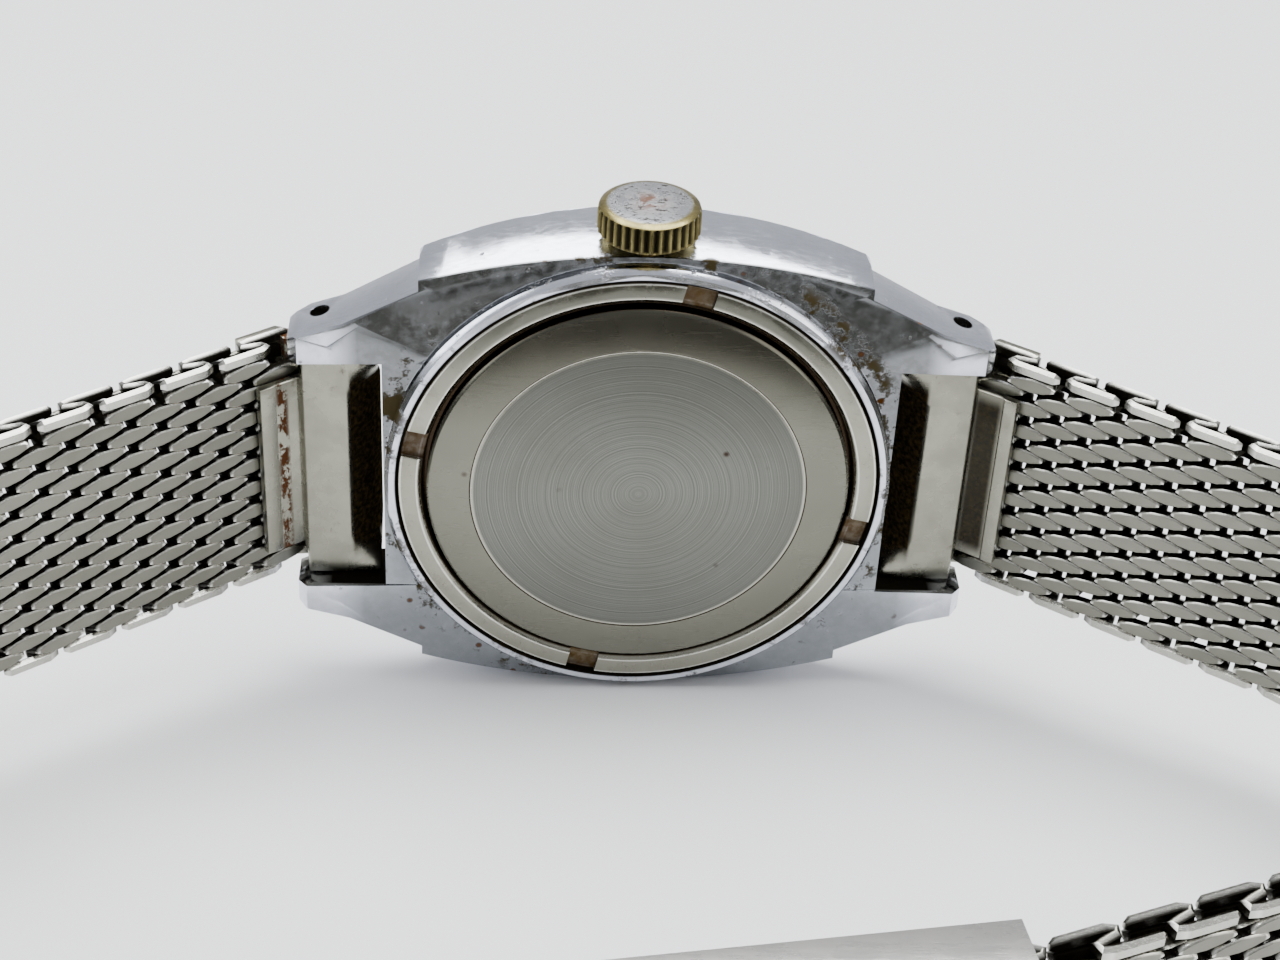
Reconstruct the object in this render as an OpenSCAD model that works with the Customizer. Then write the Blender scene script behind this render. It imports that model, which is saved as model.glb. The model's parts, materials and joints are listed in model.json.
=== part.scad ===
// Hand-wound wristwatch on a closed wire-mesh bracelet, standing on the edge of its case.
// Every piece is drawn in the watch's own frame and then turned into the standing posture:
//   x towards 12 o'clock, y towards the crown at 3 o'clock, z out of the case back.
// The origin is the middle of the case back's flat outer face.

/* [Case] */
// Gap between the lugs, which is the size the strap is sold by
lug_gap = 18; // [16:0.5:20]
// Half width of the case across 9 to 3 o'clock, at its widest
case_half_w = 18; // [17.8:0.1:19]
// Half length of the cushion along 6 to 12 o'clock, without the lugs
case_half_l = 14.5; // [14.4:0.1:15.2]
// Depth from the case back's face to the front of the case middle
case_depth = 6.8; // [6.6:0.1:7.6]
// Radius of the long arcs that bound the two flanks
flank_arc_r = 52; // [45:1:80]
// How far each flank leans in from its front edge to its back edge
flank_lean = 0.8; // [0.4:0.1:1]
// Distance of a lug's tip from the middle of the case
lug_reach = 22.9; // [22.5:0.1:23.4]
// Distance of the drilled lug holes from the middle of the case
lug_hole_x = 20.95; // [20.6:0.05:21.2]
// Depth of the lug holes below the case back's face
lug_hole_depth = 4; // [3.8:0.1:4.2]
// Thickness of a lug at its tip
lug_tip_t = 1.9; // [1.5:0.1:2.4]

/* [Case back] */
// Radius of the back disc's raised face
disc_r = 14.05; // [13.8:0.05:14.1]
// Radius of the fine groove turned in the back disc
groove_r = 11.1; // [9:0.1:12]
// Outer radius of the threaded retaining ring
ring_r = 16; // [15.9:0.05:16.1]
// Depth of the ring's top face below the disc's face
ring_drop = 0.5; // [0.4:0.05:0.6]
// Width of the opener slots in the retaining ring
slot_w = 2; // [1.4:0.1:2.6]
// Number of opener slots
slot_count = 4; // [3:1:6]

/* [Crown] */
// Radius of the crown over its fluting
crown_r = 3.3; // [2.6:0.1:3.5]
// Height of the crown
crown_h = 2.2; // [2:0.1:3]
// Number of flutes round the crown
flutes = 32; // [20:1:40]
// How far the crown pulls out to set the hands
crown_pull = 1; // [0.6:0.1:1.2]

/* [Movement] */
// Radius of the movement's main plate
plate_r = 12.8; // [12.7:0.05:12.85]
// Radius of the balance wheel
balance_r = 3.6; // [3.2:0.1:3.7]
// Length of the minute hand from the middle of the dial
minute_hand_l = 10.2; // [8.5:0.1:11]
// Radial running clearance of a pivot or shaft in its hole
running = 0.04; // [0.03:0.01:0.06]

/* [Bracelet] */
// Width of the woven mesh
mesh_w = 18.4; // [17:0.1:18.6]
// Thickness of the woven mesh
mesh_t = 2.2; // [1.8:0.1:2.3]
// Angle at which the bracelet leaves the case
leave_angle = 35.3; // [34:0.1:37]
// Straight length of mesh from the end clip to the side bend
first_run = 21.4; // [20:0.1:23]
// Radius of the bracelet's bend on the 12 o'clock side, at the middle of the mesh
bend_r_12 = 20; // [19:0.5:21]
// Radius of the bracelet's bend on the 6 o'clock side
bend_r_6 = 26; // [25:0.5:27]
// Slope of the clasp, whose 6 o'clock end lies further from the case
clasp_slope = 7.8; // [7:0.1:9]
// Thickness of the sheet the clips and the clasp are folded from
sheet_t = 0.5; // [0.4:0.05:0.55]
// Radius of the spring bars' tubes
bar_r = 0.75; // [0.6:0.05:0.8]

/* [Hidden] */
$fn = 96;
eps = 0.01;

// Case, from the back face inwards
case_back_z = -1.5;
lip_r = 16.85;
lip_z = -0.46;
seat_z = -1.7;
seat_inner_r = 14.3;
thread_gap = 0.05;
front_dome_r = 60;
case_bottom = -case_depth;
dial_ledge_z = -6.1;
dial_view_r = 12.3;
bezel_r = 14.35;
crystal_r = 13.6;
crystal_seat_z = case_bottom - 0.2;
bezel_front_z = case_bottom - 0.9;
arc_cy = case_half_w - flank_arc_r;
wall_x = 16.2;
wall_root_x = 13;
wall_front_z = -5;
ledge_x = 16.9;
ledge_t = 1;
lug_root_y = 14.2;
lug_back_z = -1.2;
lug_front_z = -6;
inner_lug_y = lug_gap / 2;
tip_y = inner_lug_y + lug_tip_t;

// Crown and stem
stem_z = -3.34;
stem_r = 0.45;
tube_r = 1.1;
tube_inner_r = 0.75;
crown_base_y = case_half_w + 0.05;
square_r = 0.4;

// Movement
plate_top = -3;
plate_bottom = -4.8;
bridge_low = -1.9;
bridge_high = -1.45;
barrel_at = [-5.39, 2.51];
third_at = 4.455 * [cos(235), sin(235)];
escape_at = 4.35 * [cos(345), sin(345)];
balance_at = [7, -5.7];
minute_at = 3.6 * [cos(60), sin(60)];
crown_wheel_at = [0, 6.655];
click_at = barrel_at + 6.3 * [cos(150), sin(150)];
cock_foot_at = [1.6, -10.6];
pivot_r = 0.14;
centre_arbor_r = 0.45;
fourth_arbor_r = 0.17;
foot_r = 11.6;

// Dial side
dial_z = -5.75;
dial_t = 0.35;
dial_r = 13.1;
hour_hand_z = -6.5;
minute_hand_z = -6.85;
seconds_hand_z = -7.2;
hand_t = 0.12;

// Bracelet: its middle line in the x-z plane. Each side is drawn towards +x, and the 6 o'clock one is mirrored
function facing(a, stretch = 1) = stretch * [cos(a), sin(a)];
run_start = [23.65, -4.5];
leaving = facing(leave_angle);
leaving_in = facing(leave_angle + 90);
bend_stop_12 = 70;
bend_end_12 = run_start + first_run * leaving + bend_r_12 * (leaving_in + facing(bend_stop_12));
clasp_x = 17;
last_run = (bend_end_12[0] - clasp_x) / sin(bend_stop_12);
clasp_z = bend_end_12[1] + last_run * cos(bend_stop_12);
// On the 6 o'clock side the straight run is as long as it takes for the bend to meet the clasp's line
bend_stop_6 = 90 + clasp_slope;
slope_in = facing(bend_stop_6);
first_run_6 = (slope_in * ([-clasp_x, clasp_z] - run_start - bend_r_6 * (leaving_in + slope_in))) / (slope_in * leaving);
clip_w = lug_gap - 0.4;
tab_w = 13.2;
slider_x0 = -12;
slider_x1 = 16.5;
slider_gap = 0.2;
slider_half_w = mesh_w / 2 + slider_gap + sheet_t;
ear_y = slider_half_w - 0.8;
cover_z = clasp_z + mesh_t / 2 + slider_gap;
pin_x = 8;
pin_r = 0.4;
pin_z = cover_z + sheet_t + 1;
hook_x = -14.2;
hook_bar_r = 0.5;

// Standing posture: the case's flank and the clasp's far corner touch the table together
flank_low = [case_half_w, case_depth];
clasp_low = [slider_half_w, clasp_z + (cover_z + sheet_t - clasp_z) * cos(clasp_slope)
    + (clasp_x - slider_x0) * sin(clasp_slope)];
lean = atan((flank_low[0] - clasp_low[0]) / (clasp_low[1] + flank_low[1]));

module posture() {
    rotate([90 + lean, 0, 0]) children();
}

// A straight prism whose outline lies in the x-z plane, centred on y = 0
module side_prism(width) {
    translate([0, width / 2, 0]) rotate([90, 0, 0]) linear_extrude(width) children();
}

module both_sides() {
    children();
    mirror([0, 1, 0]) children();
}

// Ring or tube standing on z0
module tube(z0, z1, r_out, r_in) {
    translate([0, 0, z0]) difference() {
        cylinder(r = r_out, h = z1 - z0);
        translate([0, 0, -eps]) cylinder(r = r_in, h = z1 - z0 + 2 * eps);
    }
}

module disc(z0, z1, r) {
    translate([0, 0, z0]) cylinder(r = r, h = z1 - z0);
}

// Outline of a toothed wheel: straight-sided teeth on a pitch circle
module teeth_outline(teeth, module_mm, turn = 0) {
    r = teeth * module_mm / 2;
    pitch = 360 / teeth;
    polygon([for (i = [0:teeth - 1], p = [[-0.31, -1.1], [-0.1, 0.8], [0.1, 0.8], [0.31, -1.1]])
        let (a = (i + p[0]) * pitch + turn, q = r + p[1] * module_mm) q * [cos(a), sin(a)]]);
}

module gear(z0, z1, teeth, module_mm, bore, turn = 0) {
    translate([0, 0, z0]) linear_extrude(z1 - z0) difference() {
        teeth_outline(teeth, module_mm, turn);
        if (bore > 0) circle(r = bore, $fn = 32);
    }
}

// Wheel with a rim, a hub and spokes
module spoked(z0, z1, teeth, module_mm, spokes, bore, turn = 0) {
    r = teeth * module_mm / 2;
    translate([0, 0, z0]) linear_extrude(z1 - z0) {
        difference() {
            teeth_outline(teeth, module_mm, turn);
            circle(r = r - 0.45);
        }
        difference() {
            union() {
                circle(r = 0.7);
                for (i = [0:spokes - 1]) rotate(i * 360 / spokes) translate([0, -0.2]) square([r - 0.4, 0.4]);
            }
            if (bore > 0) circle(r = bore, $fn = 32);
        }
    }
}

// ---- case ----

module cushion() {
    h = case_depth + case_back_z;
    intersection() {
        translate([0, arc_cy, case_bottom]) cylinder(r1 = flank_arc_r, r2 = flank_arc_r - flank_lean, h = h, $fn = 180);
        translate([0, -arc_cy, case_bottom]) cylinder(r1 = flank_arc_r, r2 = flank_arc_r - flank_lean, h = h, $fn = 180);
        translate([-case_half_l, -case_half_w, case_bottom]) cube([2 * case_half_l, 2 * case_half_w, h]);
        translate([0, 0, front_dome_r - case_depth]) rotate([90, 0, 0])
            cylinder(r = front_dome_r, h = 4 * case_half_w, center = true, $fn = 240);
        rotate(45) translate([-21.2, -21.2, case_bottom - eps]) cube([42.4, 42.4, h + 2 * eps]);
    }
}

module lug_side() {
    polygon([[13, lug_back_z - 0.3], [18.6, lug_back_z - 0.1], [lug_reach - 0.6, lug_back_z],
        [lug_reach, lug_back_z - 0.7], [lug_reach, -4.3], [lug_reach - 1.3, -5.2], [13, lug_front_z]]);
}

module lug_plan() {
    polygon([[12.5, inner_lug_y], [lug_reach, inner_lug_y], [lug_reach, tip_y - 0.25],
        [lug_reach - 0.4, tip_y], [19.4, tip_y + 0.9], [14, lug_root_y + 0.4], [12.5, lug_root_y]]);
}

module lug() {
    intersection() {
        translate([0, 40, 0]) side_prism(80) lug_side();
        translate([0, 0, -8]) linear_extrude(10) lug_plan();
    }
}

// Wall of the case between two lugs, with a ledge under its back face that the end clip swings clear of
module lug_wall() {
    translate([wall_root_x, -inner_lug_y, wall_front_z])
        cube([wall_x - wall_root_x, 2 * inner_lug_y, case_back_z - wall_front_z]);
    translate([wall_root_x, -inner_lug_y, case_back_z - ledge_t])
        cube([ledge_x - wall_root_x, 2 * inner_lug_y, ledge_t]);
}

module lug_back_facet() {
    translate([19.6, tip_y + 0.15, lug_back_z]) rotate([0, 0, -38]) rotate([34, 0, 0])
        translate([-8, -0.2, 0]) cube([9, 6, 3]);
}

module case_middle() {
    color("silver") difference() {
        union() {
            cushion();
            lug_wall();
            mirror([1, 0, 0]) lug_wall();
            both_sides() difference() {
                union() {
                    lug();
                    mirror([1, 0, 0]) lug();
                }
                lug_back_facet();
                mirror([1, 0, 0]) lug_back_facet();
            }
            disc(case_back_z - eps, lip_z - 0.35, lip_r);
            translate([0, 0, lip_z - 0.35]) cylinder(r1 = lip_r, r2 = lip_r - 0.3, h = 0.35);
            translate([0, 0, bezel_front_z]) cylinder(r1 = bezel_r - 0.3, r2 = bezel_r, h = -bezel_front_z - 5.2);
        }
        disc(seat_z, 1, ring_r + thread_gap);
        disc(dial_ledge_z, 1, seat_inner_r);
        disc(bezel_front_z - 1, 1, dial_view_r);
        disc(bezel_front_z - 1, crystal_seat_z, crystal_r);
        tube(-2.06, seat_z + eps, ring_r - 0.7, ring_r - 1.3);
        both_sides() for (s = [-1, 1]) translate([s * lug_hole_x, inner_lug_y - 1, -lug_hole_depth])
            rotate([-90, 0, 0]) cylinder(r = 0.6, h = 5);
        translate([0, 12, stem_z]) rotate([-90, 0, 0]) cylinder(r = tube_r, h = 9);
    }
}

module crystal() {
    rim = 1;
    dome = 1.2;
    dome_r = (crystal_r * crystal_r + dome * dome) / (2 * dome);
    color([0.9, 0.95, 1, 0.35]) difference() {
        intersection() {
            disc(crystal_seat_z - rim - dome, crystal_seat_z, crystal_r);
            translate([0, 0, crystal_seat_z - rim - dome + dome_r]) sphere(r = dome_r, $fn = 240);
        }
        disc(crystal_seat_z - 0.7, crystal_seat_z + eps, crystal_r - 1);
    }
}

module dial_ring() {
    color("gainsboro") translate([0, 0, -6.95]) difference() {
        cylinder(r = dial_view_r - 0.03, h = 0.8);
        translate([0, 0, -eps]) cylinder(r1 = dial_view_r - 0.35, r2 = dial_view_r - 1.1, h = 0.8 + 2 * eps);
    }
}

module back_disc() {
    edge = disc_r - groove_r;
    color([0.66, 0.66, 0.63]) difference() {
        union() {
            rotate_extrude($fn = 180) polygon([[0, -0.9], [disc_r, -0.9], [disc_r, -0.45], [disc_r - 0.2, -0.25],
                [groove_r + edge * 0.1, 0], [0, 0]]);
            tube(-1.65, -1.25, ring_r - 0.5, disc_r - 1.2);
            disc(-1.3, -0.85, disc_r);
        }
        translate([0, 0, -2]) cylinder(r = disc_r - 1.2, h = 1.05);
        tube(-0.05, 0.1, groove_r + 0.06, groove_r - 0.06);
    }
}

module back_gasket() {
    color([0.08, 0.08, 0.08]) tube(-2.02, -1.66, ring_r - 0.75, ring_r - 1.25);
}

module back_retaining_ring() {
    inner = disc_r + 0.3;
    color([0.7, 0.69, 0.65]) difference() {
        rotate_extrude($fn = 180) polygon([[inner, -1.22], [ring_r, -1.22], [ring_r, -ring_drop - 0.12],
            [ring_r - 0.14, -ring_drop], [inner + 0.38, -ring_drop], [inner, -ring_drop - 0.3]]);
        for (i = [0:slot_count - 1]) rotate(77.5 + i * 360 / slot_count)
            translate([inner - 0.5, -slot_w / 2, -ring_drop - 0.42]) cube([ring_r - inner + 1, slot_w, 1]);
    }
}

// ---- crown and keyless work ----

module on_stem() {
    translate([0, 0, stem_z]) rotate([-90, 0, 0]) children();
}

module crown_tube() {
    color("goldenrod") on_stem() tube(14.35, crown_base_y - 0.15 + 0.9, tube_r, tube_inner_r);
}

module crown() {
    bead = 2 * PI * crown_r / flutes / 4;
    color([0.72, 0.62, 0.38]) on_stem() translate([0, 0, crown_base_y]) difference() {
        union() {
            linear_extrude(crown_h - 0.3) union() {
                circle(r = crown_r - bead);
                for (i = [0:flutes - 1]) rotate(i * 360 / flutes)
                    translate([crown_r - bead, 0]) circle(r = bead, $fn = 8);
            }
            translate([0, 0, crown_h - 0.31]) cylinder(r1 = crown_r - 0.08, r2 = crown_r - 0.35, h = 0.2);
            translate([0, 0, crown_h - 0.12]) cylinder(r1 = crown_r - 0.35, r2 = crown_r - 1.1, h = 0.12);
        }
        translate([0, 0, -eps]) cylinder(r = tube_r + 0.1, h = 1.2);
        translate([0, 0, -eps]) cylinder(r = stem_r, h = 1.8);
    }
}

module winding_stem() {
    color("silver") on_stem() {
        disc(11.15, crown_base_y + 1.75, stem_r);
        disc(10.6, 11.2, 0.28);
        disc(7.8, 10.65, stem_r);
        translate([-square_r / sqrt(2), -square_r / sqrt(2), 5.8])
            cube([square_r * sqrt(2), square_r * sqrt(2), 2.05]);
        disc(4.9, 5.85, 0.25);
    }
}

module setting_lever() {
    color("gray") on_stem() {
        tube(10.7, 11.1, 0.75, 0.28 + running);
        translate([0.6, -0.4, 10.7]) cube([1.3, 0.8, 0.4]);
    }
}

module winding_pinion() {
    color("silver") on_stem() gear(8, 8.9, 12, 0.2, stem_r + running);
}

module sliding_clutch() {
    color("silver") on_stem() gear(6.1, 7.6, 10, 0.17, square_r + running);
}

// ---- movement ----

function mesh_turn(angle, teeth) = angle + 180 - 180 / teeth;
function heading(a, b) = atan2(b[1] - a[1], b[0] - a[0]);

module at(p) {
    translate([p[0], p[1], 0]) children();
}

module pivot_hole(p, z0, z1) {
    at(p) disc(z0, z1, pivot_r + running);
}

module movement_ring() {
    color([0.6, 0.6, 0.58]) difference() {
        tube(dial_z + 0.02, seat_z - 0.05, seat_inner_r - 0.05, plate_r + 0.02);
        on_stem() disc(12, 15, stem_r + 0.2);
    }
}

module main_plate() {
    color("goldenrod") difference() {
        disc(plate_bottom, plate_top, plate_r);
        at(barrel_at) disc(-4.05, -2, 5.5);
        at(barrel_at) disc(-5, -2, 0.5 + running);
        at([0, 0]) disc(-5, -2, centre_arbor_r + running);
        translate([-1.5, 5.8, -5]) cube([3, 3.3, 3]);
        translate([-1, 10.4, -4.2]) cube([3.2, 2, 3]);
        on_stem() disc(4.6, 14, stem_r + running);
        for (p = [third_at, escape_at, balance_at, fork_at]) pivot_hole(p, -5, -2);
        at(minute_at) disc(-5, -2, 0.3);
        bridge_screw_holes(concat(barrel_screws, train_screws));
    }
}

module half_round(z0, z1) {
    intersection() {
        disc(z0, z1, plate_r - 0.2);
        children();
    }
}

module bridge_screw_holes(list) {
    for (p = list) at(p) disc(-3.5, -1, 0.4);
}

screw_head_z = -1.26;
barrel_screws = [[-11.9, 2.6], [-8.3, 8.9], [11.2, 4.7]];
train_screws = [[-11.6, -3.6], [-8, -9.2]];
cock_screw = [cock_foot_at];

module barrel_bridge() {
    color([0.75, 0.74, 0.7]) difference() {
        union() {
            half_round(bridge_low, bridge_high) translate([-13, 0.7, -3]) cube([26, 13, 3]);
            half_round(plate_top, bridge_low + eps) difference() {
                translate([-13, 0.7, -3]) cube([26, 13, 3]);
                disc(-4, 0, foot_r);
            }
        }
        translate([-1.1, 9.2, -3.5]) cube([3.5, 4, 1.6]);
        at(barrel_at) disc(-3, -1, 0.8 + running);
        at(crown_wheel_at) disc(-3, -1, 2.25);
        at([0, 0]) disc(-3, 0, 1);
        bridge_screw_holes(barrel_screws);
    }
}

module train_bridge() {
    color([0.75, 0.74, 0.7]) difference() {
        union() {
            half_round(bridge_low, bridge_high) translate([-13, -13, -3]) cube([26, 13.5, 3]);
            half_round(plate_top, bridge_low + eps) difference() {
                translate([-13, -13, -3]) cube([13.5, 13.5, 3]);
                disc(-4, 0, foot_r);
                translate([-5.5, -13, -4]) cube([13, 13, 5]);
            }
        }
        at(balance_at) disc(-4, 0, balance_r + 0.5);
        translate([3.4, -13, -4]) cube([12, 7.5, 5]);
        at(balance_at) rotate(heading(balance_at, cock_foot_at)) translate([0, -2.2, -4]) cube([12, 4.4, 5]);
        for (p = [third_at, escape_at, [0, 0]]) pivot_hole(p, -3, 0);
        bridge_screw_holes(train_screws);
    }
}

module balance_cock() {
    span = norm(cock_foot_at - balance_at);
    color([0.75, 0.74, 0.7]) difference() {
        union() {
            at(balance_at) disc(-1.6, -1.25, 1.3);
            at(balance_at) rotate(heading(balance_at, cock_foot_at)) translate([0, -0.9, -1.6]) cube([span, 1.8, 0.35]);
            at(cock_foot_at) disc(plate_top, -1.25, 1.2);
        }
        pivot_hole(balance_at, -2, -1);
        bridge_screw_holes(cock_screw);
    }
}

module bridge_screws() {
    color([0.25, 0.32, 0.5]) for (p = concat(barrel_screws, train_screws)) at(p) {
        disc(-3.5, bridge_high + eps, 0.4);
        difference() {
            disc(bridge_high, screw_head_z, 0.75);
            translate([-1, -0.1, screw_head_z - 0.1]) cube([2, 0.2, 0.2]);
        }
    }
}

module spiral_strip(z0, z1, r0, r1, turns, t) {
    n = turns * 18;
    edge = function(k, d) let (r = r0 + (r1 - r0) * k / n + d) r * [cos(k * 20), sin(k * 20)];
    translate([0, 0, z0]) linear_extrude(z1 - z0)
        polygon([for (k = [0:n]) edge(k, t / 2), for (k = [n:-1:0]) edge(k, -t / 2)]);
}

module mainspring_barrel() {
    color("goldenrod") at(barrel_at) {
        gear(-2.95, -2.75, 60, 0.17, 0.8 + running, mesh_turn(heading([0, 0], barrel_at), 60));
        tube(-3.95, -2.94, 4.9, 4.65);
        tube(-3.95, -3.8, 4.9, 0.8 + running);
    }
}

module mainspring() {
    color([0.45, 0.48, 0.52]) at(barrel_at) spiral_strip(-3.75, -3, 1.1, 4.45, 7, 0.14);
}

module barrel_arbor() {
    color("silver") at(barrel_at) {
        disc(-4.5, -4.04, 0.5);
        disc(-4.05, bridge_high + 0.02, 0.8);
    }
}

module ratchet_wheel() {
    color("silver") at(barrel_at) gear(bridge_high + 0.02, -1.2, 47, 0.2, 0, heading(barrel_at, crown_wheel_at));
}

module click() {
    away = heading(barrel_at, click_at);
    color("silver") at(click_at) translate([0, 0, bridge_high + 0.02]) linear_extrude(-1.22 - bridge_high) difference() {
        rotate(away) union() {
            circle(r = 0.6, $fn = 32);
            polygon([[-0.5, 0.3], [-1.05, 2], [-1.2, 1.9], [-0.75, -0.2]]);
        }
        circle(r = 0.25, $fn = 32);
    }
}

module crown_wheel() {
    color("silver") at(crown_wheel_at) {
        gear(bridge_high + 0.02, -1.2, 21, 0.2, 0, mesh_turn(heading(barrel_at, crown_wheel_at), 21));
        tube(-1.88, bridge_high + 0.03, 1.95, 1.4);
    }
}

module centre_wheel() {
    turn = heading([0, 0], barrel_at);
    color("gold") {
        spoked(-2.65, -2.5, 72, 0.11, 4, centre_arbor_r, 235);
        gear(-2.98, -2.66, 10, 0.17, centre_arbor_r, turn);
        tube(-6.75, -2.45, centre_arbor_r, fourth_arbor_r + running);
    }
}

module third_wheel() {
    color("gold") at(third_at) {
        gear(-2.72, -2.4, 9, 0.11, 0, mesh_turn(235, 9));
        spoked(-2.37, -2.22, 60, 0.131, 4, 0, 235 + 180);
        disc(-3.4, -1.6, pivot_r);
        disc(-2.9, -2, 0.25);
    }
}

module fourth_wheel() {
    color("gold") {
        gear(-2.4, -2.14, 8, 0.131, 0, 235 - 180 / 8);
        spoked(-2.12, -1.99, 70, 0.113, 4, 0, 345);
        disc(-7.3, -2.2, fourth_arbor_r);
        disc(-2.2, -1.6, pivot_r);
    }
}

module escape_wheel() {
    color("silver") at(escape_at) {
        gear(-2.17, -1.95, 7, 0.113, 0, mesh_turn(345, 7));
        translate([0, 0, -2.42]) linear_extrude(0.12) difference() {
            polygon([for (i = [0:14], p = [[0, 1.9], [0.12, 1.9], [0.2, 1.5], [0.95, 1.5]])
                let (a = (i + p[0]) * 24) p[1] * [cos(a), sin(a)]]);
            for (i = [0:3]) rotate(i * 90 + 45) translate([0.85, 0]) circle(r = 0.4, $fn = 32);
        }
        disc(-3.4, -1.6, pivot_r);
        disc(-2.5, -2.1, 0.3);
    }
}

fork_line = heading(escape_at, balance_at);
fork_at = escape_at + 2.75 * [cos(fork_line), sin(fork_line)];

module pallet_fork() {
    color("silver") at(fork_at) {
        rotate(fork_line) translate([0, 0, -2.62]) linear_extrude(0.15) {
            circle(r = 0.3, $fn = 32);
            translate([0, -0.12]) square([1.7, 0.24]);
            for (s = [-1, 1]) polygon([[0, 0.1 * s], [-0.9, 1.45 * s], [-1.15, 1.35 * s], [-0.2, -0.15 * s]]);
            for (s = [-1, 1]) translate([1.6, s * 0.16 - 0.07]) square([0.35, 0.14]);
        }
        disc(-3.4, -2.2, pivot_r);
    }
}

module balance_wheel() {
    color("gold") at(balance_at) {
        tube(-2.1, -1.8, balance_r, balance_r - 0.4);
        translate([-balance_r + 0.2, -0.2, -2.05]) cube([2 * balance_r - 0.4, 0.4, 0.15]);
        disc(-2.12, -1.88, 0.6);
        disc(-3.4, -1.4, pivot_r);
    }
}

module hairspring() {
    color([0.3, 0.36, 0.55]) at(balance_at) spiral_strip(-1.78, -1.68, 0.5, 1.9, 6, 0.05);
}

// ---- motion work, dial and hands ----

module cannon_pinion() {
    color("silver") {
        gear(-5.2, -4.9, 10, 0.18, centre_arbor_r + running, heading([0, 0], minute_at));
        tube(minute_hand_z - hand_t, -5.1, 0.66, centre_arbor_r + running);
    }
}

module minute_wheel() {
    color("gold") at(minute_at) {
        gear(-5.15, -4.95, 30, 0.18, 0, mesh_turn(heading([0, 0], minute_at), 30));
        gear(-5.55, -5.14, 8, 0.18, 0, heading(minute_at, [0, 0]));
        disc(-4.96, -3.5, 0.26);
    }
}

module hour_wheel() {
    color("gold") {
        gear(-5.5, -5.3, 32, 0.18, 0.7, mesh_turn(heading(minute_at, [0, 0]), 32));
        tube(hour_hand_z - hand_t, -5.4, 1, 0.7);
    }
}

module dial() {
    color([0.93, 0.92, 0.86]) difference() {
        disc(dial_z - dial_t, dial_z, dial_r);
        disc(-7, -5, 1.05);
    }
}

module hour_markers() {
    color("silver") for (i = [0:11]) rotate(i * 30)
        translate([8.6, -0.3, dial_z - dial_t - 0.2]) cube([2.2, 0.6, 0.2]);
}

module hand(z, length, tail, width, bore) {
    translate([0, 0, z - hand_t]) linear_extrude(hand_t) difference() {
        union() {
            circle(r = width + 0.35 + bore / 3);
            polygon([[-tail, -width / 2], [length - 0.8, -width / 2], [length, 0], [length - 0.8, width / 2], [-tail, width / 2]]);
        }
        circle(r = bore);
    }
}

module hour_hand() {
    color("silver") rotate(-50) hand(hour_hand_z, 6.6, 1.6, 1, 1);
}

module minute_hand() {
    color("silver") rotate(60) hand(minute_hand_z, minute_hand_l, 1.8, 0.7, 0.66);
}

module seconds_hand() {
    color("silver") rotate(200) translate([0, 0, seconds_hand_z - 0.1]) linear_extrude(0.1) difference() {
        union() {
            circle(r = 0.6);
            polygon([[-3, -0.2], [minute_hand_l + 0.3, -0.06], [minute_hand_l + 0.3, 0.06], [-3, 0.2]]);
        }
        circle(r = fourth_arbor_r, $fn = 32);
    }
}

// ---- bracelet ----

module across(x, z, y0, y1, r) {
    translate([x, y0, z]) rotate([-90, 0, 0]) cylinder(r = r, h = y1 - y0, $fn = 48);
}

tip_out = inner_lug_y + 1.3;
tip_in = 6;

module spring_bar() {
    color("silver") difference() {
        across(lug_hole_x, -lug_hole_depth, -lug_gap / 2 + 0.4, lug_gap / 2 - 0.4, bar_r);
        both_sides() across(lug_hole_x, -lug_hole_depth, 3.8, lug_gap, 0.45 + running);
    }
}

module bar_tip() {
    color("silver") across(lug_hole_x, -lug_hole_depth, tip_in, tip_out, 0.45);
}

module spring_bar_12() {
    spring_bar();
}

module spring_bar_6() {
    mirror([1, 0, 0]) spring_bar();
}

module bar_tip_12_upper() {
    bar_tip();
}

module bar_tip_12_lower() {
    mirror([0, 1, 0]) bar_tip();
}

module bar_tip_6_upper() {
    mirror([1, 0, 0]) bar_tip();
}

module bar_tip_6_lower() {
    mirror([1, 0, 0]) mirror([0, 1, 0]) bar_tip();
}

module end_clip() {
    bx = lug_hole_x;
    bz = -lug_hole_depth;
    r_out = bar_r + running + sheet_t;
    top = bz + r_out;
    run = function(d, off) run_start + d * leaving + (mesh_t / 2 + off) * leaving_in;
    color([0.72, 0.71, 0.67]) {
        side_prism(clip_w) difference() {
            union() {
                translate([bx, bz]) circle(r = r_out);
                polygon([[bx - 1.7, top], [bx - 2.7, top - 0.5], [bx - 3.4, top - 1.5], [bx - 3.9, top - 3.1],
                    [bx - 3.4, top - 3.2], [bx - 2.95, top - 1.7], [bx - 2.35, top - 0.95], [bx - 1.5, top - sheet_t],
                    [bx + 0.9, top - sheet_t], [bx + 1.3, top - 0.3], [bx + 1.2, top]]);
            }
            translate([bx, bz]) circle(r = bar_r + running);
        }
        side_prism(tab_w) polygon([[bx + 0.7, top - 0.3], [bx + 1.2, top], run(-0.35, 0.62), run(2.6, 0.57),
            run(2.6, 0.07), run(-0.7, 0.07), [bx + 1.05, bz + 0.4]]);
        side_prism(clip_w) polygon([[bx + 0.5, bz - 1.15], run(-0.6, -mesh_t - 0.57), run(2.4, -mesh_t - 0.57),
            run(2.4, -mesh_t - 0.07), run(-0.2, -mesh_t - 0.07), run(-0.25, -1), [bx + 0.8, bz - 0.75]]);
    }
}

module end_clip_12() {
    end_clip();
}

module end_clip_6() {
    mirror([1, 0, 0]) end_clip();
}

// Turns what is drawn on a level clasp to the clasp's slope, about the corner where the 12 o'clock mesh meets it
module on_clasp() {
    translate([clasp_x, 0, clasp_z]) rotate([0, clasp_slope, 0]) translate([-clasp_x, 0, -clasp_z]) children();
}

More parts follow.
